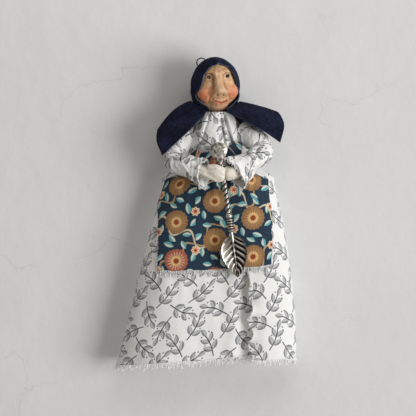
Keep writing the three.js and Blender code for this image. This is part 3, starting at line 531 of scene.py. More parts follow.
def make_muslin():
    # Unbleached muslin: loosely woven cream cotton with slubs and brown flecks of seed husk.
    material, add, shader = new_material("unbleached_muslin", Roughness=0.95, Sheen_Weight=0.15,
                                         Sheen_Roughness=0.5, Specular_IOR_Level=0.2)
    place = add("TexCoord").outputs["Object"]
    millimetres = add("VectorMath", place, (1000.0,) * 3, operation="MULTIPLY")
    blotch = add("TexNoise", Vector=millimetres, Scale=0.16, Detail=4.0)
    colour = add("MixRGB", blotch, "#e9e5db", "#dad3c5")
    fleck = add("TexNoise", Vector=millimetres, Scale=1.3, Detail=1.0)
    colour = add("MixRGB", add("MapRange", fleck, 0.72, 0.78), colour, "#8f7355")
    weave(add, shader, add("UVMap", uv_map="cut"), MUSLIN_WEAVE, colour, 1.0)
    return material


def make_clay():
    # Baked modelling clay, painted: warm waxy skin, a brown wash in the creases that is partly painted shade,
    # rouged cheeks and a red mouth. The masks are painted on the head's points.
    material, add, shader = new_material("painted_clay", Roughness=0.5, Specular_IOR_Level=0.4,
                                         Subsurface_Weight=0.08, Subsurface_Scale=0.002)
    place = add("TexCoord").outputs["Object"]
    patchy = add("TexNoise", Vector=place, Scale=260.0, Detail=6.0)
    colour = add("MixRGB", add("MapRange", patchy, 0.3, 0.7), "#dcba97", "#c09369")
    # the brown wash mask is partly real wash and partly painted shade in the creases, beside the nose, in the
    # nostrils and under the brows
    for mask, code in (("blush", "#d4764e"), ("lips", "#bb5f49"), ("wash_and_shade", "#8a5a34")):
        amount = add("Attribute", attribute_name=mask)
        uneven = add("MapRange", patchy, 0.3, 0.7, 0.6, 1.1)
        part = add("Math", amount.outputs["Fac"], uneven, operation="MULTIPLY", use_clamp=True)
        colour = add("MixRGB", part, colour, code)
    grain = add("TexNoise", Vector=place, Scale=700.0, Detail=3.0)
    relief = add("Bump", Strength=0.25, Distance=0.0003, Height=grain)
    feed(shader, Base_Color=colour, Normal=relief)
    return material


def make_eye_glass():
    # Glass bead, painted behind: a white ball with a dark brown iris under a hard gloss.
    material, add, shader = new_material("glass_eye", Roughness=0.12, Specular_IOR_Level=0.4)
    iris = add("Attribute", attribute_name="iris")
    tint = add("TexNoise", Scale=900.0, Detail=2.0)
    white = add("MixRGB", tint, "#efe6da", "#dccdb9")
    colour = add("MixRGB", add("MapRange", iris.outputs["Fac"], 0.35, 0.6), white, "#1a120e")
    feed(shader, Base_Color=colour)
    return material


def make_silver():
    # Silver plate, polished on the high places, with dark tarnish left in the veins and hollows, and painted
    # shade over the right half of the bowl.
    material, add, shader = new_material("tarnished_silver", Metallic=1.0)
    # the mask holds real tarnish in the hollows and painted shade on the bowl's right half
    tarnish_and_shade = add("Attribute", attribute_name="tarnish_and_shade")
    place = add("TexCoord").outputs["Object"]
    film = add("TexNoise", Vector=place, Scale=300.0, Detail=4.0)
    dull = add("Math", film, 0.5, tarnish_and_shade.outputs["Fac"], operation="MULTIPLY_ADD")
    tarnish = add("MapRange", dull, 0.4, 1.1)
    colour = add("MixRGB", tarnish, "#c6c2ba", "#262320")
    rough = add("MapRange", tarnish, 0.0, 1.0, 0.28, 0.5)
    satin = add("Attribute", attribute_name="satin")  # the finial is beaten, not polished
    rough = add("Math", satin.outputs["Fac"], 0.3, rough, operation="MULTIPLY_ADD")
    feed(shader, Base_Color=colour, Roughness=rough)
    return material


def make_cord():
    # Waxed cotton cord: black, a dull shine, twisted from two strands.
    material, add, shader = new_material("waxed_cord", Roughness=0.6)
    place = add("TexCoord").outputs["Object"]
    lay = add("TexNoise", Vector=place, Scale=2200.0, Detail=2.0)
    colour = add("MixRGB", lay, "#121218", "#2a2a33")
    feed(shader, Base_Color=colour)
    return material


def make_beech():
    # Turned beech dowel: pale pinkish wood with short dark flecks along the grain.
    material, add, shader = new_material("beech", Roughness=0.65)
    place = add("TexCoord").outputs["Object"]
    grain = add("Mapping", place, None, None, (1500.0, 1500.0, 120.0))
    fleck = add("TexNoise", Vector=grain, Scale=1.0, Detail=3.0)
    colour = add("MixRGB", add("MapRange", fleck, 0.4, 0.7), "#d8b78a", "#a9794d")
    feed(shader, Base_Color=colour)
    return material


def make_thread(name, code):
    # Loose cotton thread from a torn edge: matt and almost white, paler than the cloth that it came from.
    material, add, shader = new_material(name, Roughness=0.9, Sheen_Weight=0.2)
    place = add("TexCoord").outputs["Object"]
    uneven = add("TexNoise", Vector=place, Scale=300.0)
    colour = add("MixRGB", uneven, code, "#fbfcfd")
    feed(shader, Base_Color=colour)
    return material


leaf_cotton = make_leaf_cotton()
apron_cotton = make_apron_cotton()
navy_felt = make_felt("navy_felt", "#10131f", "#20253d")
# a lighter copy of the felt for the cut edges: a painted highlight where the fuzz of an edge catches the
# light
felt_edge_highlight = make_felt("navy_felt_edge_highlight", "#3a3f52", "#6a7186")
muslin = make_muslin()
clay = make_clay()
eye_glass = make_eye_glass()
silver = make_silver()
waxed_cord = make_cord()
beech = make_beech()
white_thread = make_thread("cotton_thread", "#f6f7f8")
apron_thread = make_thread("apron_thread", "#dcdfdf")

# Frayed edges


def fray_tree():
    """Loose threads along an edge: thin strands of uneven length that lean at random."""
    tree = bpy.data.node_groups.new("frayed_edge", "GeometryNodeTree")
    kinds = {"Edge": "Geometry", "Spacing": "Float", "Length": "Float", "Thickness": "Float", "Lean": "Float",
             "Seed": "Int", "Thread": "Material"}
    for label, kind in kinds.items():
        tree.interface.new_socket(label, in_out="INPUT", socket_type="NodeSocket" + kind)
    tree.interface.new_socket("Threads", in_out="OUTPUT", socket_type="NodeSocketGeometry")
    add = functools.partial(add_node, tree)
    edge, spacing, length, thickness, lean, seed, yarn, _ = add("NodeGroupInput").outputs
    line = add("GeometryNodeMeshToCurve", edge)
    points = add("GeometryNodeResampleCurve", Curve=line, Length=spacing, mode="LENGTH")
    way = add("GeometryNodeCurveQuadraticBezier", Resolution=4, Start=(0, 0, 0), Middle=(0.12, 0, -0.5),
              End=(0, 0, -1))
    strand = add("GeometryNodeTransform", Geometry=way, Scale=add("CombineXYZ", length, length, length))
    section = add("GeometryNodeCurvePrimitiveCircle", Resolution=3, Radius=thickness)
    thread = add("GeometryNodeCurveToMesh", strand, section, Fill_Caps=True)
    back = add("Math", lean, -1.0, operation="MULTIPLY")
    low, high = add("CombineXYZ", back, back, -3.1), add("CombineXYZ", lean, lean, 3.1)
    turn = add("FunctionNodeRandomValue", low, high, Seed=seed, data_type="FLOAT_VECTOR")
    size = add("FunctionNodeRandomValue", (0.7, 0.7, 0.25), (1.1, 1.1, 1.0), Seed=seed,
               data_type="FLOAT_VECTOR")
    spread = add("GeometryNodeInstanceOnPoints", Points=points, Instance=thread, Rotation=turn, Scale=size)
    real = add("GeometryNodeRealizeInstances", spread)
    add("NodeGroupOutput", add("GeometryNodeSetMaterial", Geometry=real, Material=yarn))
    return tree


FRAY = fray_tree()
THREAD = 0.5  # thickness of a loose thread


def fray(name, edge, material, spacing, length, thickness, lean, seed):
    """A fringe of loose threads along an edge of points, in doll millimetres."""
    mesh = bpy.data.meshes.new(name)
    mesh.from_pydata(row(edge).tolist(), [(i, i + 1) for i in range(len(edge) - 1)], [])
    piece = new_piece(name, mesh)
    threads = piece.modifiers.new("fray", "NODES")
    threads.node_group = FRAY
    sizes = {"Spacing": spacing / 1000, "Length": length / 1000, "Thickness": thickness / 2000, "Lean": lean,
             "Seed": seed, "Thread": material}
    for item in FRAY.interface.items_tree:
        if item.in_out == "INPUT" and item.name in sizes:
            threads[item.identifier] = sizes[item.name]
    return settle(piece)


# Head


def turned_with_head(points):
    """From the head's own axes, facing -Y, to the doll's."""
    c, s = math.cos(HEAD_YAW), math.sin(HEAD_YAW)
    x, y, z = np.moveaxis(np.asarray(points, float), -1, 0)
    return np.stack([c * x - s * y, s * x + c * y, z], -1) + HEAD


def face_place(x, z):
    """The face's own place, levelled: its roll taken out."""
    c, s = math.cos(HEAD_ROLL), math.sin(HEAD_ROLL)
    return c * x + s * z, c * z - s * x


def nose_half(z):
    """Half width of the nose, from its underside up to the forehead."""
    return through([-9.5, -5.5, -2.5, 1.0, 6.0, 13.0], [4.8, 5.6, 4.6, 4.0, 3.7, 3.7], z)


def mouth_line(x):
    """Height of the line between the lips."""
    return -13.6 + 0.06 * (x - MOUTH_X) ** 2


def from_eye(side, z):
    """How far from the middle of an eye, in the oval of its lids."""
    return np.hypot((side - EYE_SPREAD) / 1.35, z - EYE_HEIGHT)


def face_relief(x, z):
    """How far the clay stands forward at (x, z) of the face."""
    x, z = face_place(x, z)
    side = np.abs(x - NOSE_X)
    rise = through([-10.2, -8.8, -6.8, -4.6, -1.0, 5.0, 10.5, 15.0],
                   [0.2, 2.2, 5.4, 6.8, 5.2, 3.4, 2.2, 0.2], z)
    relief = rise * np.exp(-((side / nose_half(z)) ** 4))
    relief += 3.0 * bump(side, z, 0, -5.2, 4.8, 3.6, 2.6)  # ball of the nose
    relief += 3.4 * bump(side, z, 6.1, -5.8, 1.7, 2.3)  # wings
    relief -= 2.4 * bump(side, z, 2.35, -7.7, 0.9, 0.75)  # nostrils
    side = np.abs(x)
    relief += 4.2 * bump(side, z, 12.4, -6.0, 5.0, 5.6, 2.6)  # cheeks
    fold = 7.0 + 1.4 * ease(-z, 6.0, 13.0)
    beside = ease(-z, 5.0, 8.0) * (1 - ease(-z, 12.0, 15.0))
    relief -= 0.9 * peak(side - fold, 0.7) * beside
    mouth, within = mouth_line(x), 1 - ease(np.abs(x - MOUTH_X), 4.9, 6.9)
    relief += 2.2 * (1 - ease(np.abs(x - MOUTH_X), 5.0, 8.5)) * peak(z + 13.2, 4.4)  # the lips' rise
    relief += 0.6 * within * peak(z - mouth - 1.2, 1.0)
    relief += 1.1 * within * peak(z - mouth + 1.2, 0.9)
    relief -= 1.1 * within * peak(z - mouth, 0.4)
    relief += 3.0 * bump(x, z, 0.6, -17.2, 5.4, 2.8)  # chin
    relief += 1.5 * bump(side, z, 6.9, 11.2 - 0.05 * (side - 6.9) ** 2, 4.0, 1.6)  # brows
    relief -= 1.7 * bump(side, z, 7.4, 6.9, 2.8, 2.0)  # sockets
    lid = from_eye(side, z)
    relief += 0.8 * peak(lid - 1.9, 0.4) * (0.45 + 0.55 * ease(z, 6.0, 8.5))
    relief -= 0.5 * peak(lid - 2.9, 0.35) * ease(z, 6.0, 8.5)
    relief -= 0.4 * peak(lid - 3.4, 0.6) * (1 - ease(z, 3.5, 7.0))
    for start, lean in ((-3.2, 0.25), (3.0, -0.1)):  # furrows of the brow
        relief -= 0.3 * peak(x - start - lean * (z - 12), 0.9) * peak(z - 13.0, 2.6)
    return relief


def make_head():
    rows, columns = 190, 220
    turn, polar = np.meshgrid(np.linspace(0, 2 * np.pi, columns + 1), np.linspace(0, np.pi, rows + 1))
    turn = turn + 0.45 * np.sin(turn)  # columns crowd towards the face
    x = HEAD_RADIUS * np.sin(polar) * np.sin(turn)
    y = HEAD_RADIUS * np.sin(polar) * np.cos(turn)
    z = HEAD_HALF_HEIGHT * np.cos(polar)
    front = ease(-y, 0, 0.45 * HEAD_RADIUS)
    relief = face_relief(x, z)
    # painted shade in the creases: how far each point lies below its neighbours
    bearings = np.arange(8) * math.pi / 4
    around = sum(face_relief(x + 1.1 * math.cos(a), z + 1.1 * math.sin(a)) for a in bearings) / len(bearings)
    crease = np.clip(around - relief, 0, None)
    y = y - front * relief - front * 0.24 * wander(x * 1.1, z, 1.6, 3) - front * 0.2 * wander(x, z, 4.5, 4)
    fx, fz = face_place(x, z)
    side = np.abs(fx)
    plump = front * bump(side, fz, 14.0, -6.0, 5.0, 6.0, 2.6)
    x = x + np.sign(x) * 1.5 * plump
    from_nose = np.abs(fx - NOSE_X)
    # painted shade down the sides of the nose, darker on the left side, away from the light
    beside_nose = peak(from_nose - nose_half(fz) - 0.2, 1.0) * ease(fz, -8, -4) * (1 - ease(fz, 6, 12))
    beside_nose *= np.where(fx < 0, 0.85, 0.5)
    nostril = bump(from_nose, fz, 2.35, -7.7, 0.85, 0.75)
    brow = bump(side, fz, 6.8, 9.9 - 0.06 * (side - 6.8) ** 2, 4.0, 0.8)
    lids = peak(from_eye(side, fz) - 2.7, 0.55) * (0.3 + 0.7 * ease(fz, 6.0, 8.5))
    rouge = bump(side, fz, 12.2, -6.6, 5.6, 6.2, 3.2)
    lips = (1 - ease(np.abs(fx - MOUTH_X), 4.9, 6.5)) * np.exp(-(((fz - mouth_line(fx)) / 1.7) ** 4))
    # the brown wash: painted shade in the creases, beside the nose, in the nostrils, under the brows and in
    # the lid creases, over a real wash
    wash_and_shade = 1.1 * crease + beside_nose + 1.3 * nostril + 0.5 * brow + 0.7 * lids
    masks = {
        "wash_and_shade": front * np.clip(wash_and_shade, 0, 0.95),
        "blush": front * np.clip(0.95 * rouge + 0.15 * bump(fx, fz, 0.6, -17, 6, 3), 0, 0.9),
        "lips": 0.75 * front * lips,
    }
    uv = np.stack([turn * HEAD_RADIUS, z], -1)
    points = turned_with_head(np.stack([x, y, z], -1))
    piece = grid_piece("clay_head", points, uv, clay, masks=masks, seal=True)
    declare(piece, "head", "clay", "head")


def make_eye(side):
    name, sign = f"eye_{side}", SIDES[side]
    inside = (EYE_SPREAD / HEAD_RADIUS) ** 2 + (EYE_HEIGHT / HEAD_HALF_HEIGHT) ** 2
    depth = math.sqrt(1 - inside) * HEAD_RADIUS
    c, s = math.cos(HEAD_ROLL), math.sin(HEAD_ROLL)
    across, height = sign * EYE_SPREAD, EYE_HEIGHT
    place = np.array([c * across - s * height, -depth + EYE_SUNK, c * height + s * across])
    u, v = unit_grid(40, 28)
    turn, polar = 2 * np.pi * u, np.pi * v
    ball = np.stack([np.sin(polar) * np.sin(turn), np.sin(polar) * np.cos(turn), np.cos(polar)], -1)
    gaze = np.array([0.45 if side == "left" else -0.2, -1.0, 0.25])
    iris = np.clip((ball @ (gaze / np.linalg.norm(gaze)) - 0.3) / 0.25, 0, 1)
    points = turned_with_head(ball * EYE_RADIUS + place)
    uv = np.stack([u, v], -1)
    piece = grid_piece("bead_" + name, points, uv, eye_glass, masks={"iris": iris}, seal=True)
    declare(piece, "head", "eyes", name)


# Hood and cape

HOOD_RADIUS = 19.7
HOOD_CROWN = 22.9
HOOD_BOTTOM = -19.4
HOOD_NECK = 15.4  # radius of its neck edge
SIDE_SEAM = math.radians(100)  # from the middle of the back
# Half width of the face opening, from the neck edge up to the peak over the forehead
OPENING_Z = [-19.4, -17.0, -13.5, -10.0, -7.0, -3.0, 1.0, 5.5, 9.0, 12.5, 14.6, 15.6, 16.2, 17.8]
OPENING_RIGHT = [6.6, 8.6, 12.8, 16.0, 16.5, 15.0, 14.1, 13.1, 12.0, 10.2, 8.6, 7.0, 4.6, 0.0]
OPENING_LEFT = [6.6, 8.6, 12.8, 16.0, 16.3, 14.3, 12.9, 11.8, 10.6, 8.4, 6.2, 4.4, 2.4, 0.0]


def below_crown(z):
    """Radius of the hood from its widest down to the neck edge, by the height from the head's middle."""
    return lerp(HOOD_RADIUS, HOOD_NECK, np.clip(z / HOOD_BOTTOM, 0, 1) ** 2)


def make_hood():
    u, v = unit_grid(150, 110)
    z = through([0, 0.3, 0.62, 0.8, 1], [HOOD_BOTTOM, -6.5, 10.5, 16.6, HOOD_CROWN], v)
    dome = HOOD_RADIUS * np.sqrt(np.clip(1 - (z / HOOD_CROWN) ** 2, 0, 1))
    radius = np.where(z > 0, dome, below_crown(z)) - FELT / 2
    right, left = (np.arcsin(np.clip(through(OPENING_Z, half, z) / np.maximum(radius, 1e-6), 0, 0.98))
                   * (z < OPENING_Z[-1]) for half in (OPENING_RIGHT, OPENING_LEFT))
    angle = lerp(right, 2 * np.pi - left, u)
    near_edge = np.exp(-np.minimum(u, 1 - u) * 30)
    folds = 0.45 * np.sin(9 * angle + 0.25 * z) * ease(-z, -4, 18) + 0.4 * wander(angle * 8, z, 5, 11)
    folds += 0.9 * near_edge * (1 - ease(z, 8, 16)) + 0.5 * wander(angle * 18, z * 0.6, 3, 12) * near_edge
    across = radius * np.sin(angle) + 1e3 * (np.cos(angle) < 0)  # the pleat is over the forehead only
    pleat = 3.4 * peak(across, 1.9) - 0.7 * peak(np.abs(across) - 3.6, 1.0)
    folds = folds - 0.7 * peak(np.abs(angle - np.pi) - SIDE_SEAM, 0.05) * (1 - v**4)
    radius = radius + folds * (1 - v**6) + pleat * ease(z, 14.0, 16) * ease(-z, -22, -18)
    points = np.stack([radius * np.sin(angle), -radius * np.cos(angle), z], -1)
    uv = np.stack([u * 110, v * 62], -1)
    piece = cloth("felt_hood", turned_with_head(points), uv, FELT, navy_felt, felt_edge_highlight, seal=True)
    declare(piece, "head", "felt", "hood")


CAPE_CUT = 210.0  # length of its strip of felt
# The cape's lines from the neck, by a place half way, to the hem
CAPE_LINES = np.array([
    [(-3, -16.5, 202.0), (-18.5, -19.5, 187.2), (-39.6, -18.5, 167.6)],  # left front edge
    [(-10, -14, 207.0), (-26, -14.0, 196.4), (-44.2, -14.0, 180.5)],
    [(-16.8, -5.5, 211.0), (-30.6, -5, 203.4), (-42.4, -6, 189.2)],  # left shoulder
    [(-11.7, 7.1, 207), (-28, 11.5, 198), (-36, 12, 185)],
    [(2.5, 13.7, 206), (3, 15.0, 190), (3, 15.0, 170)],  # middle of the back
    [(16.6, 7.1, 207), (34, 11.5, 202), (45, 12, 193)],
    [(22.4, -5.5, 210.6), (37.5, -5, 207.2), (51.6, -6, 202.2)],  # right shoulder
    [(15.5, -13.5, 206.6), (37.5, -14.0, 201.6), (57.4, -13.0, 191.0)],
    [(9.4, -16.5, 202.0), (29, -19.5, 193.8), (54.2, -18.5, 177.6)],  # right front edge
], float)


def make_cape():
    u, v = unit_grid(160, 44)
    knots = np.array([0, 0.09, 0.19, 0.34, 0.5, 0.66, 0.81, 0.91, 1])  # places of the lines on the strip
    lines = [through(knots, CAPE_LINES[:, k], u) for k in range(3)]
    t = v[..., None]
    points = (lines[0] * 2 * (t - 0.5) * (t - 1) - lines[1] * 4 * t * (t - 1) + lines[2] * 2 * t * (t - 0.5))
    points[..., 1] += (0.9 * v * np.sin(17 * u + 0.5) * ease(points[..., 1], 12, 6)
                       + 0.5 * v * wander(u * 90, v * 40, 14, 21))
    points[..., 2] += 0.5 * wander(u * 120, v * 40, 18, 22)
    out = points[..., :2] - HEAD[:2]
    reach = np.linalg.norm(out, axis=-1)
    clear = below_crown(points[..., 2] - HEAD[2]) + 0.7 + FELT / 2  # the neck edge lies outside the hood
    short = np.clip(clear - reach, 0, None) * (points[..., 2] > 200)
    points[..., :2] += out / reach[..., None] * short[..., None]
    points[..., 1] = np.minimum(points[..., 1], BACK_Y - FELT / 2 - 0.05)
    uv = np.stack([u * CAPE_CUT, v * 42], -1)
    piece = cloth("felt_cape", points, uv, FELT, navy_felt, felt_edge_highlight, flip=True)
    cut = piece.data.uv_layers["cut"].data
    for face in piece.data.polygons:  # only the front edges get the painted highlight of the cut edge
        if 1.0 < cut[face.loop_start].uv.x < CAPE_CUT - 1.0:
            face.material_index = 0
    declare(piece, "doll", "felt", "cape")


LOOP_LEAN = math.radians(56)
LOOP_RADIUS = 3.7
LOOP_CORD = 1.0  # thickness that the solid gives the cord
LOOP_STRAND = 0.45  # half the thickness drawn, before its twist
LOOP_FOOT = -0.62  # where the crown cuts the circle, as a share of its radius


def make_loop():
    """The loop's cord, along the route of its solid."""
    lean, steps, sides = LOOP_LEAN, 60, 12
    up = np.array([-math.cos(lean), 0, math.sin(lean)])
    along = np.array([math.sin(lean), 0, math.cos(lean)])
    nail = -ORIGIN * 1000  # the frame's origin, where a nail bears
    centre = nail - up * (LOOP_RADIUS - LOOP_CORD / 2)
    foot = math.asin(LOOP_FOOT)
    angle = np.linspace(foot, math.pi - foot, steps)
    line = centre + LOOP_RADIUS * (np.cos(angle)[:, None] * along + np.sin(angle)[:, None] * up)
    twist = np.linspace(0, 2 * np.pi, sides + 1)
    spiral = 0.1 * np.cos(2 * (twist[None] - np.linspace(0, 30, steps)[:, None]))
    thick = np.full(steps, LOOP_STRAND)
    points = closed(tube(line, thick, thick, np.array([0.0, 1.0, 0.0]), sides, spiral), line[0], line[-1])
    piece = grid_piece("loop_cord", points, 0 * points[..., :2], waxed_cord, seal=True, flip=True)
    declare(piece, "hanging_loop", "cord", "hanging_loop")


# Skirt and apron


def skirt_half(z):
    hips = lerp(HEM_HALF, HIP_HALF, np.clip(z / HIP_Z, 0, 1) ** 1.35)
    return lerp(hips, WAIST_HALF, ease(z, 148, 164))


def skirt_middle(z):
    return lerp(HEM_X, BODY_X + 1.5, np.sqrt(np.clip(z / 116, 0, 1)))


def skirt_power(z):
    """How square the skirt is from above: it hangs almost flat below the hips."""
    return lerp(3.7, 2.7, ease(z, 90, 150))


def skirt_point(bearing, z, out):
    """A place on the skirt's cloth, seen from its middle: the bearing runs from PI on the left to 0 on the
    right, and out lifts one cloth over another."""
    half = skirt_half(z) + 0.5 * out
    power = skirt_power(z)
    c, s = np.cos(bearing), np.clip(np.sin(bearing), 0, 1)
    reach = (np.abs(c) ** power + s**power) ** (-1 / power)
    x, s = skirt_middle(z) + half * reach * c, reach * s
    hang = 1 - np.clip(z / SKIRT_TOP, 0, 1)
    fold = (0.45 + 1.3 * hang) * np.sin(6.5 * bearing + 1.2) * s
    fold += (0.5 + 0.5 * hang) * s * wander(x, z * 0.45, 13, 31) + 0.3 * s * wander(x, z, 6, 32)
    fold += 0.7 * s * peak(z - 150, 14) * np.sin(x * 0.9 + 0.4)
    seam = BACK_Y - SOLID_COTTON - GAP
    front = lerp(HEM_FRONT, WAIST_FRONT, np.clip(z / SKIRT_TOP, 0, 1) ** 3)
    return np.stack([x, seam - (seam - front + out) * s - fold, z], -1)


def bearing_at(x, z):
    """The bearing at which the skirt passes x."""
    q = np.clip((x - skirt_middle(z)) / skirt_half(z), -1, 1)
    power = skirt_power(z)
    return np.arctan2((1 - np.abs(q) ** power) ** (1 / power), q)


def overlap_edge(z):
    return np.minimum(OVERLAP_EDGE, skirt_middle(z) + 0.68 * skirt_half(z))


def valley(points, aside, width, depth):
    """The long fold that runs down to the hem beside the edge of the right panel."""
    x, z = points[..., 0], points[..., 2]
    return depth * peak(x - overlap_edge(z) + aside, width) * ease(-z, -80, -50)


def cut_lengths(points):
    """Flat-cut coordinates of a grid of cloth: lengths along its rows and columns, from its middle."""
    across = np.linalg.norm(np.diff(points, axis=1), axis=2).cumsum(1)
    across = np.concatenate([np.zeros((len(points), 1)), across], 1)
    along = np.linalg.norm(np.diff(points, axis=0), axis=2).cumsum(0)
    along = np.concatenate([np.zeros((1, points.shape[1])), along], 0)
    middle = points.shape[1] // 2
    return np.stack([across - across[:, middle : middle + 1], along], -1)


def dress_piece(name, points, node, edges, material=leaf_cotton, thread=white_thread,
                slot="leaf_cotton", flip=False, uv_shift=(0, 0)):
    """A sheet of the dress with its frayed edges; edges are (points, spacing, length, lean)."""
    uv = cut_lengths(points)
    piece = cloth(name, points, uv + np.array(uv_shift), COTTON, material, flip=flip)
    trims = [fray(f"{name}_fray_{i}", line, thread, spacing, length, THREAD, lean, 50 + i)
             for i, (line, spacing, length, lean) in enumerate(edges)]
    declare(piece, "doll", slot, node)
    for trim in trims:
        declare(trim, "doll", slot)


def make_skirt():
    u, v = unit_grid(170, 150)
    top = SKIRT_TOP * v
    bearing = lerp(np.pi, bearing_at(overlap_edge(top) + 5.4, top), u)
    hem = through([0, 0.2, 0.55, 0.75, 1], [5.0, 0.4, 2.6, 5.0, 9.5], u)
    hem = hem + 0.5 * wander(u * 110, 0, 5, 33)
    front = skirt_point(bearing, lerp(hem, SKIRT_TOP, v), 0)
    front[..., 1] += valley(front, 4.0, 6.0, 5.6)
    dress_piece("skirt_front_cloth", front, "skirt_front",
                [(front[0], 0.4, 6.0, 0.4)])
    u, v = unit_grid(90, 150)
    z = lerp(4.6 + 2.0 * u + 0.5 * wander(u * 45, 0, 5, 34), SKIRT_TOP, v)
    low = ease(-z, -82, -66)
    waves = 1.5 * np.sin(z / 3.2) + 1.4 * wander(z, 0, 9, 37)
    ragged = 0.7 * wander(z, 0, 5, 35) + low * np.exp(-u * 6) * waves
    bearing = lerp(bearing_at(overlap_edge(z) + ragged, z), 0, u)
    over = skirt_point(bearing, z, SOLID_COTTON + 2 * GAP)
    curl = np.exp(-u * 12) * (3.4 + 1.4 * np.sin(z / 3.2 + 0.9) + 1.4 * wander(z, 0, 11, 36)) * low
    swell = 1.2 * low * (ease(u, 0.02, 0.6) - ease(u, 0.65, 1))
    over[..., 1] += valley(over, 1.0, 8.0, 3.6) - curl - swell
    dress_piece("skirt_overlap_cloth", over, "skirt_overlap",
                [(over[0], 0.4, 5.8, 0.4), (over[5:70, 0], 1.0, 1.5, 1.3)], uv_shift=(71, 9))
    u, v = unit_grid(60, 60)
    z = lerp(3.0, SKIRT_TOP, v)
    x = skirt_middle(z) + lerp(0.4 - skirt_half(z), skirt_half(z) + 1.2, u)
    flat = np.stack([x, 0 * z + BACK_Y - SOLID_COTTON / 2, z], -1)
    dress_piece("skirt_back_cloth", flat, "skirt_back",
                [(flat[0], 0.7, 3.2, 0.35)], flip=True, uv_shift=(33, 21))


def apron_reach(z):
    """Half width of the apron: a straight cut that draws in at the waist."""
    return np.minimum(APRON_HALF, lerp(0.9 * skirt_half(z), APRON_HALF_TOP, ease(z, 147, 159)))


def make_apron():
    u, v = unit_grid(150, 120)
    top = APRON_TOP + 1.0 + 6.5 * ease(u, 0.6, 0.9)  # it goes up under the blouse on the right
    z = lerp(APRON_HEM + 5 * u**2 + 0.5 * wander(u * 90, 0, 4, 41), top, v)
    level = np.minimum(z, SKIRT_TOP)
    middle = lerp(APRON_MIDDLE, skirt_middle(level), ease(z, 135, 160))
    x = middle + (2 * u - 1) * apron_reach(level) + 0.5 * wander(z, 0, 6, 42) * np.abs(2 * u - 1) ** 6
    over = SOLID_COTTON + 3.2 * GAP
    out = over + over * ease(x, 6, overlap_edge(level) - 4)
    points = skirt_point(bearing_at(x, level), level, out)
    points[..., 2] = z
    dress_piece("apron_cloth", points, "apron",
                [(points[0], 0.4, 6.6, 0.5), *((points[:90, side], 1.0, 1.3, 1.2) for side in (0, -1))],
                material=apron_cotton, thread=apron_thread, slot="apron_cotton", uv_shift=(9, 21))


# Blouse, sleeves and stuffed pieces


def crumple(x, y, size, seed):
    """Sharp creases between soft hills, from -1 to 1."""
    return 1 - 2.6 * np.abs(wander(x, y, size, seed))


def make_blouse():
    u, v = unit_grid(260, 100)
    rise = [0, 0.12, 0.4, 0.62, 0.8, 0.9, 0.96, 1]  # up the cloth, over the puffed neck and down to the tie
    angle = 2 * np.pi * u + np.pi / 2
    s, c = np.sin(angle), np.cos(angle)
    z = through(rise, [171.4, 175, 184, 192, 198.5, 201.7, 202.0, 200.8], v)
    hem = 0.6 * wander(u * 150, 0, 5, 51) + 4.5 * ease(c, 0.25, 0.9) - 7.0 * ease(s, 0.1, 0.6)
    z = z + hem * (1 - v) ** 2
    half = through(rise, [19.5, 20.5, 20.0, 18.0, 14.0, 11.6, 10.2, NECK_RADIUS], v)
    front = through(rise, [16.4, 18.6, 18.2, 15.2, 12.2, 11.4, 10.2, NECK_RADIUS], v)
    back = through(rise, [11.7, 11.7, 11.7, 10.8, 9.6, 9.4, 9.2, NECK_RADIUS], v)
    middle_y = through(rise, [2, 2, 1.5, 0, -3, -4.2, -4.2, -4.2], v)
    middle_x = through(rise, [1.5, 1.5, 2.0, 2.5, 3.0, 2.7, 2.5, 2.5], v)
    neck = ease(v, 0.5, 0.85)
    calm = 1 - 0.65 * peak(half * c, 9) * (s < 0)  # the middle of the front hangs smooth
    gather = calm * (0.02 + 0.04 * neck) * np.sin(11 * angle + 0.5 * np.sin(3 * angle))
    gather += 0.02 * neck * np.sin(27 * angle) + 0.016 * crumple(angle * 12, z * 0.6, 5, 52)
    gather *= 1 - v**8
    depth = np.where(s > 0, back * (1 + 0.2 * gather), front * (1 + gather))
    points = np.stack([middle_x + half * (1 + 0.6 * gather) * c, middle_y + depth * s, z], -1)
    down = np.clip((201 - z) / 26, 0, 1)
    # folds that fall from the neck: where each starts and ends, its half width and its depth
    for start, end, width, deep in ((6.5, 10.5, 1.0, 4.2), (9.0, 16.5, 1.5, 6.4), (-1.5, -9.5, 0.9, 1.4)):
        furrow = peak(points[..., 0] - lerp(start, end, down), width) * (s < 0)
        points[..., 1] += deep * furrow * ease(z, 171, 179) * (1 - v**6)
    dress_piece("blouse_cloth", points, "bodice", [(points[0], 0.6, 2.0, 0.6)],
                uv_shift=(18.5, 60))


# The slanting mouth of each cuff, from its top to its bottom
CUFF_MOUTH = {
    "left": np.array([(-5.0, -27.5, 164.6), (-8.8, -27.5, 140.4)]),
    "right": np.array([(10.4, -29.0, 162.6), (24.8, -28.0, 143.0)]),
}
CUFF_HALF = 13.6  # half its height
SLEEVE_RINGS = 131
SLEEVE_SIDES = 120


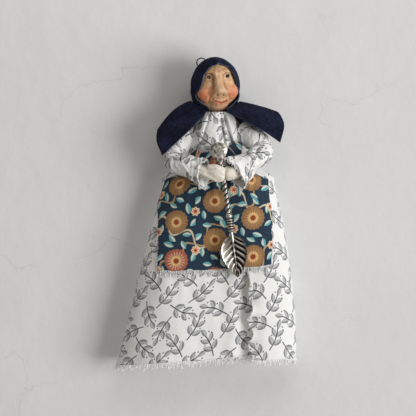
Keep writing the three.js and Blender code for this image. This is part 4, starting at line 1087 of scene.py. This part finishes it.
def make_sleeve(side):
    sign, elbow = SIDES[side], ELBOW[side]
    top, bottom = CUFF_MOUTH[side]
    mouth, slant = (top + bottom) / 2, top - bottom
    shoulder = np.array([BODY_X + sign * 20.0, 0.5, 187.0])
    bend = elbow + np.array([sign * 2.2, -0.5, -1.2])
    stops = np.array([shoulder, lerp(shoulder, bend, 0.55) + [sign * 3.0, 0, 1.0], bend,
                      lerp(bend, mouth, 0.45) + [0, -0.8, -0.4], lerp(bend, mouth, 0.9), mouth])
    knots = np.array([0, 0.26, 0.46, 0.68, 0.93, 1])
    t = np.linspace(0, 1, SLEEVE_RINGS)
    line = through(knots, stops, t)
    across = through(knots, [8.2, 9.0, 7.8, 7.4, 7.0, 7.2], t)
    upright = through(knots, [8.2, 9.0, 7.8, 8.4, lerp(8.4, CUFF_HALF, 0.8), CUFF_HALF], t)
    angle = np.linspace(0, 2 * np.pi, SLEEVE_SIDES + 1)
    along, turn = np.meshgrid(t, angle, indexing="ij")
    x, y = 3 * np.cos(turn), 3 * np.sin(turn)
    seed = 61 if side == "left" else 71
    loose = 0.7 + 0.3 * ease(along, 0.25, 0.5)
    creases = loose * 0.085 * crumple(x + along * 14, y + along * 8, 3.0, seed)
    creases += loose * 0.055 * crumple(x - along * 24, y * 1.6 + along * 20, 2.0, seed + 1)
    creases += 0.07 * peak(along - 0.47, 0.1) * np.sin(along * 120 + 2 * np.cos(turn) + np.sin(3 * turn))
    creases += 0.05 * np.sin(8 * turn + 6 * along + 1.5 * np.sin(2 * turn)) * ease(along, 0.72, 1)
    up = np.array([0.05, 0.35, 1.0])
    smooth = tube(line, across, upright, up, SLEEVE_SIDES)
    uv = cut_lengths(smooth)
    points = tube(line, across, upright, up, SLEEVE_SIDES, creases)
    standing = smooth[-1, SLEEVE_SIDES // 4] - smooth[-1, 3 * SLEEVE_SIDES // 4]
    lean = slant[0] / slant[2] - standing[0] / standing[2]  # the cuff is cut on a slant
    points[..., 0] += lean * (points[..., 2] - line[:, None, 2]) * ease(along, 0.6, 1)
    points[-1, :, 2] += 0.9 * wander(angle * 4, 0, 1.3, seed + 2)
    piece = cloth(f"sleeve_{side}_cloth", points, uv + np.array([17 * sign, 40]), COTTON, leaf_cotton,
                  flip=True, seal=True)
    trim = fray(f"sleeve_{side}_fray", points[-1], white_thread, 0.6, 2.4, 0.45, 1.0, seed)
    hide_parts(f"upper_sleeve_{side}", f"lower_sleeve_{side}")
    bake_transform(piece)
    declare(trim, "forearms", "leaf_cotton")


def stuffed(name, line, across, upright, seed, up=(0.0, 0.0, 1.0), pucker=0.03):
    """Stuffed muslin: rings along a line, puckered, with closed ends."""
    sides = 64
    angle = np.linspace(0, 2 * np.pi, sides + 1)
    along, turn = np.meshgrid(np.linspace(0, 1, len(line)), angle, indexing="ij")
    x, y = 4 * np.cos(turn), 4 * np.sin(turn)
    puckers = pucker * (crumple(x + 14 * along, y + 9 * along, 2.6, seed) - 0.3)
    puckers += 0.5 * pucker * wander(x * 2, y * 2 + 40 * along, 2, seed + 1)
    points = closed(tube(line, across, upright, np.array(up), sides, puckers), line[0], line[-1])
    uv = np.stack(np.broadcast_arrays(angle[None] * 5.5, np.linspace(0, 45, len(points))[:, None]), -1)
    return grid_piece(name, points, uv, muslin, seal=True, flip=True)


def declare_stuffed(piece, node, body):
    """Declares a stuffed piece."""
    declare(piece, body, "muslin", node)


def blunt(t, start):
    """1 until start, then down to nothing at 1 like the end of a mitten."""
    return np.clip(1 - np.clip((t - start) / (1 - start), 0, 1) ** 4, 0.001, 1) ** 0.35


# Each hand: where its tip lies in the clasp, the half height of its palm and fingers, and its puckers
HAND = {"left": ([1.2, -1.8, -0.3], [6.4, 6.6], 81), "right": ([-0.2, -0.8, -0.3], [5.6, 5.8], 85)}
THUMB = [[-13.5, -1.0, 5.6], [-8.0, -3.0, 5.8], [-2.6, -4.0, 3.8]]


def make_forearm(side):
    elbow, cuff = ELBOW[side], CUFF[side]
    aside, palm, seed = HAND[side]
    t = np.linspace(0, 1, 71)
    tip = HANDS + aside
    stops = [lerp(elbow, cuff, 0.15), lerp(elbow, cuff, 0.6), lerp(cuff, tip, 0.1),
             lerp(cuff, tip, 0.6) + [0, -0.8, 0.3], tip]
    line = through([0, 0.3, 0.55, 0.8, 1], stops, t)
    close = blunt(t, 0.8) * np.clip(0.4 + 5 * t, 0, 1)
    across = through([0, 0.45, 0.58, 0.8, 1], [5.0, 5.0, 4.2, 5.2, 5.2], t) * close
    upright = through([0, 0.45, 0.58, 0.8, 1], [5.0, 5.2, 5.0, *palm], t) * close
    hand = stuffed(f"hand_{side}", line, across, upright, seed, pucker=0.075)
    if side == "left":  # its thumb lies over the top
        t = np.linspace(0, 1, 31)
        thumb = through([0, 0.5, 1], HANDS + np.array(THUMB), t)
        girth = 2.4 * blunt(t, 0.6) * blunt(1 - t, 0.6)
        hand = joined("hand_left", hand, stuffed("thumb_left", thumb, girth, girth, 83, pucker=0.05))
    declare_stuffed(hand, f"forearm_{side}", "forearms")


ARM_RADIUS = 4.9
SHOULDER_INSET = 5.2  # from the sides of the solid's box
ELBOW_INSET = 5.4


def make_upper_arm(side):
    sign = SIDES[side]
    t = np.linspace(0, 1, 41)
    low, high = ((np.array(corner) - ORIGIN) * 1000 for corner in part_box(f"upper_arm_{side}"))
    inner, outer = (low[0], high[0]) if sign > 0 else (high[0], low[0])
    shoulder = np.array([inner + sign * SHOULDER_INSET, high[1] - SHOULDER_INSET, high[2] - SHOULDER_INSET])
    elbow = np.array([outer - sign * ELBOW_INSET, low[1] + ELBOW_INSET, low[2] + 4.5])
    line = through([0, 1], [shoulder, elbow], t)
    girth = ARM_RADIUS * blunt(t, 0.8) * blunt(1 - t, 0.8)
    arm = stuffed(f"arm_{side}", line, girth, girth, 91 if sign < 0 else 95, up=(0.2, 1.0, 0.2))
    declare_stuffed(arm, f"upper_arm_{side}", "doll")


def make_body():
    z = np.linspace(BODY_FOOT, NECK_TOP, 91)
    heights = [BODY_FOOT, 126, 140, 163, 178, 190, 197, NECK_TOP]
    across = through(heights, [9, 23, 27, 17, 18, 21, 13, 6.6], z)
    across *= np.clip((z - BODY_FOOT + 0.8) / 2.5, 0.05, 1) ** 0.5  # a rounded foot
    upright = through(heights, [5, 9, 11, 10.5, 10.5, 9, 8, 6.6], z)
    middle_x = through(heights, [BODY_X] * 6 + [2.8, HEAD[0]], z)
    middle_y = through(heights, [BODY_Y] * 6 + [-1, HEAD[1]], z)
    middle = np.stack([middle_x, middle_y, z], -1)
    body = stuffed("muslin_body", middle, across, upright, 99, up=(0.0, 1.0, 0.0))
    declare_stuffed(body, "stuffed_body", "doll")


TIE_RING = NECK_RADIUS + GAP + 0.3
TIE_STRAND = 0.42  # half the thread's thickness, before its twist


def make_neck_thread():
    angle = np.linspace(0, 2 * np.pi, 121)
    strand = np.linspace(0, 2 * np.pi, 13)
    r = TIE_STRAND + 0.08 * np.cos(2 * strand[None] - 60 * angle[:, None])
    ring = TIE_RING + r * np.cos(strand)
    points = np.stack([HEAD[0] + ring * np.cos(angle)[:, None], HEAD[1] + ring * np.sin(angle)[:, None],
                       NECK_TOP - 1.2 + r * np.sin(strand)], -1)
    piece = grid_piece("neck_tie", points, 0 * points[..., :2], waxed_cord, seal=True, flip=True)
    declare(piece, "doll", "cord", "neck_thread")


# Spoon, in its own axes: +Z along the stem towards the finial, the hands at zero

SPOON_GRIP = [-0.8, 0, 0]  # from the middle of the clasp
BOWL_TOP = -48.5
BOWL_LENGTH = 34.0
BOWL_HALF = 10.8
BOWL_VEINS = 7
BOWL_TEETH = 12
FINIAL_FOOT = 6.0
FINIAL_LENGTH = 20.2
FINIAL_HALF = 7.2
STEM_FOOT = -36.0
STEM_TOP = 8.2
STEM_TURNS = 11
FERRULE_TOP = -31.4
FERRULE_FOOT = -56.0
BALL_RADIUS = 2.75
BALL_Z = -33.3
RIDGES = 5
RIDGES_LENGTH = 10.4
RIDGES_CREST = -34.4
RIDGES_TOP = -35.0
RIDGES_FOOT = -45.0
SPOON_SIDES = 24


def with_spoon(points):
    """From the spoon's own axes to the doll's."""
    x, y, z = np.moveaxis(np.asarray(points, float), -1, 0)
    c, s = math.cos(SPOON_PITCH), math.sin(SPOON_PITCH)
    y, z = c * y - s * z, s * y + c * z
    c, s = math.cos(-SPOON_LEAN), math.sin(-SPOON_LEAN)
    x, z = c * x + s * z, c * z - s * x
    return np.stack([x, y, z], -1) + HANDS + SPOON_GRIP


def silver_part(name, points, first, last, dark, satin=0.0, flip=False):
    """A part of the spoon, closed at both ends, with the tarnish and painted shade at each of its points."""
    points = closed(points, first, last)
    dark = np.concatenate([dark[:1], dark, dark[-1:]])
    masks = {"tarnish_and_shade": dark, "satin": satin + 0 * dark}
    uv = points[..., [0, 2]]
    return grid_piece(name, with_spoon(points), uv, silver, masks=masks, seal=True, flip=flip)


def leaf_blade(name, q, x, y, z, tarnish_and_shade, thickness, satin=0.0):
    """A closed leaf blade: its face and its back, joined round the edge. q runs across it from -1 to 1."""
    taper = thickness * (0.35 + 0.65 * np.sqrt(np.clip(1 - q**4, 0, 1)))
    face, back = np.stack([x, y - taper / 2, z], -1), np.stack([x, y + taper / 2, z], -1)
    loop = np.concatenate([face, back[:, ::-1], face[:, :1]], 1)
    dark = np.concatenate([tarnish_and_shade, tarnish_and_shade[:, ::-1] * 0.6, tarnish_and_shade[:, :1]], 1)
    return silver_part(name, loop, loop[0].mean(0), loop[-1].mean(0), dark, satin)


def round_part(name, radius, z, dark, flip=False):
    """A part of the spoon that is round about its axis, by radius and tarnish at each height."""
    angle = np.linspace(0, 2 * np.pi, SPOON_SIDES + 1)
    points = np.stack(np.broadcast_arrays(radius * np.cos(angle), radius * np.sin(angle), z[:, None]), -1)
    return silver_part(name, points, [0, 0, z[0]], [0, 0, z[-1]], dark + 0 * angle, flip=flip)


def make_bowl():
    u, v = unit_grid(90, 150)
    q, s = 2 * u - 1, lerp(0.012, 0.992, v)
    half = BOWL_HALF * np.sin(np.pi * np.clip(s, 0, 1) ** 0.78) ** 0.72 * (1 - 0.12 * s)  # an oval leaf
    saw = (s * BOWL_TEETH - 0.15 * np.abs(q)) % 1
    tooth = 1 + 0.1 * np.abs(q) ** 8 * (saw - 0.5)
    vein = np.cos(2 * np.pi * BOWL_VEINS * (s - 0.24 * np.abs(q)))
    body = np.sin(np.pi * np.clip(np.abs(q) * 1.1, 0, 1)) ** 0.6
    ribs = 0.6 * np.sign(vein) * np.abs(vein) ** 0.7 * body
    midrib = -1.1 * peak(q, 0.06)
    dish = 3.2 * (1 - q * q) * np.sin(np.pi * s)
    tarnish_and_shade = 0.6 * ease(ribs, -0.2, 0.5) + 0.6 * peak(np.abs(q) - 0.13, 0.06)
    tarnish_and_shade += 0.55 * ease(q, -0.05, 0.15) * (ribs > -0.3)  # painted shade: the right half of the bowl is darkened, as if turned away from the light
    return leaf_blade("spoon_bowl", q, q * half * tooth, dish + ribs + midrib, BOWL_TOP - BOWL_LENGTH * s,
                      np.clip(tarnish_and_shade, 0, 1), 1.1)


def make_finial():
    u, v = unit_grid(60, 90)
    q, s = 2 * u - 1, lerp(0.01, 0.99, v)
    x = q * FINIAL_HALF * np.sin(np.pi * s**1.94) ** 0.6 - 0.9
    z = FINIAL_FOOT + FINIAL_LENGTH * s
    dents = 0.3 * wander(x, z, 3.0, 101) + 0.16 * wander(x, z, 1.4, 102)
    swell = -0.8 * (1 - q * q) * np.sin(np.pi * s)
    tarnish_and_shade = np.clip(0.42 - 0.42 * np.abs(q) ** 5 + 0.4 * wander(x, z, 1.3, 103), 0, 1)
    return leaf_blade("spoon_finial", q, x, swell + dents, z, tarnish_and_shade, 1.5, satin=0.7)


def make_stem():
    z = np.linspace(STEM_FOOT, STEM_TOP, 260)
    angle = np.linspace(0, 2 * np.pi, SPOON_SIDES + 1)
    twist = 2 * np.pi * STEM_TURNS * (z - STEM_FOOT) / (STEM_TOP - STEM_FOOT)
    lobe = np.cos(2 * (angle[None] - twist[:, None] / 2))
    bead = np.cos(3 * twist)[:, None]
    taper = lerp(1, 0.6, ease(z, -0.8, 7.2))[:, None]
    radius = STEM_RADIUS * taper * (0.9 + 0.13 * lobe + 0.06 * bead * (lobe > 0) * lobe)
    return round_part("spoon_stem", radius, z, np.clip(0.25 - 0.8 * lobe, 0, 1))


def make_ferrule():
    z = np.linspace(FERRULE_TOP, FERRULE_FOOT, 170)
    wave = np.cos(2 * np.pi * RIDGES * (z - RIDGES_CREST) / RIDGES_LENGTH)
    ball = np.maximum(np.sqrt(np.clip(BALL_RADIUS**2 - (z - BALL_Z) ** 2, 0, None)), 1.6)
    tail = lerp(2.2, 1.35, ease(RIDGES_FOOT - z, 0, 1.5))
    ridged = (z < RIDGES_TOP) & (z > RIDGES_FOOT)
    radius = np.where(ridged, 2.35 + 0.32 * wave, np.where(z > RIDGES_FOOT, ball, tail))
    radius *= np.clip((z - FERRULE_FOOT) / 4, 0.02, 1) ** 0.5
    radius *= np.clip((FERRULE_TOP + 0.1 - z) / 0.4, 0.02, 1) ** 0.5
    dark = np.where(ridged, np.clip(0.35 - wave, 0, 1), 0.15)
    return round_part("spoon_ferrule", radius[:, None], z, dark[:, None], flip=True)


def make_spoon():
    spoon = joined("leaf_spoon", make_bowl(), make_finial(), make_stem(), make_ferrule())
    declare(spoon, "spoon", "silver", "spoon")


# Wall, light and camera


def make_wall():
    # Trowelled plaster: pale grey, almost flat, with faint clouds, fine ridges and hairline cracks.
    material, add, shader = new_material("plaster", Roughness=0.95, Specular_IOR_Level=0.2)
    place = add("TexCoord").outputs["Object"]
    clouds = add("TexNoise", Vector=place, Scale=9.0, Detail=6.0)
    colour = add("MixRGB", clouds, "#dadbdb", "#cecfcf")
    stray = add("TexNoise", Vector=place, Scale=26.0, Detail=4.0)
    # a Mix node's vectors are its fifth and sixth inputs
    bent = add("Mix", 0.06, *[None] * 3, place, stray.outputs["Color"], data_type="VECTOR")
    cells = add("TexVoronoi", Vector=bent.outputs[1], Scale=7.0, feature="DISTANCE_TO_EDGE")
    line = add("MapRange", cells.outputs["Distance"], 0.006, 0.0)
    patches = add("TexNoise", Vector=place, Scale=11.0, Detail=1.0)
    crack = add("Math", line, add("MapRange", patches, 0.52, 0.62), operation="MULTIPLY")
    colour = add("MixRGB", crack, colour, "#cbc9c6")
    ridges = add("TexNoise", Vector=place, Scale=30.0, Detail=8.0)
    relief = add("Bump", Strength=0.5, Distance=0.003, Height=ridges)
    feed(shader, Base_Color=colour, Normal=relief)
    # seen from behind, the wall lets the doll's back show
    clear = add("BsdfTransparent")
    behind = add("NewGeometry")
    either = add("MixShader", behind.outputs["Backfacing"], shader, clear)
    surface = material.node_tree.nodes["Material Output"].inputs["Surface"]
    material.node_tree.links.new(either.outputs[0], surface)
    middle = row(PHOTO_MIDDLE)
    y = row([0, BACK_Y + WALL_GAP, 0])[1]
    corners = [(-1, -1), (1, -1), (1, 1), (-1, 1)]
    mesh = bpy.data.meshes.new("wall")
    mesh.from_pydata([(middle[0] + a, y, middle[2] + b) for a, b in corners], [], [(0, 1, 2, 3)])
    wall = new_piece("wall", mesh, material)
    wall.visible_shadow = False  # the lamp behind it lights the doll's back


def make_lamp(name, place, size, power, target):
    light = bpy.data.lights.new(name, "AREA")
    light.size = size
    light.energy = power
    lamp = bpy.data.objects.new(name, light)
    lamp.location = place
    lamp.rotation_euler = (Vector(target) - Vector(place)).to_track_quat("-Z", "Y").to_euler()
    bpy.context.scene.collection.objects.link(lamp)


def make_studio():
    scene = bpy.context.scene
    scene.view_settings.view_transform = "Standard"
    world = bpy.data.worlds.new("studio")
    world.use_nodes = True
    sky = world.node_tree.nodes["Background"]
    sky.inputs["Color"].default_value = linear("#f1e8dd")
    sky.inputs["Strength"].default_value = 0.34
    scene.world = world
    middle = row(PHOTO_MIDDLE)
    make_lamp("window", middle + [3.0, -2.6, -0.5], 2.3, 134.0, middle)
    make_lamp("fill", middle + [0.2, -0.7, 0.8], 0.9, 3.2, middle)
    make_lamp("behind", middle + [0.2, 1.1, 0.4], 0.8, 9.0, middle)
    lens = bpy.data.cameras.new("camera")
    lens.lens = LENS
    lens.sensor_width = SENSOR
    camera = bpy.data.objects.new("camera", lens)
    distance = PHOTO_PIXELS * PIXEL / 1000 * LENS / SENSOR
    camera.location = middle + [0, -distance, 0]
    camera.rotation_euler = (math.pi / 2, 0, 0)
    scene.collection.objects.link(camera)
    scene.camera = camera


make_studio()
make_wall()
make_loop()
make_head()
for side in SIDES:
    make_eye(side)
make_hood()
make_cape()
make_body()
make_neck_thread()
make_blouse()
for side in SIDES:
    make_upper_arm(side)
    make_sleeve(side)
    make_forearm(side)
make_skirt()
make_apron()
make_spoon()
dowel = frame["nodes"]["neck_dowel"].data
dowel.materials.clear()
dowel.materials.append(beech)
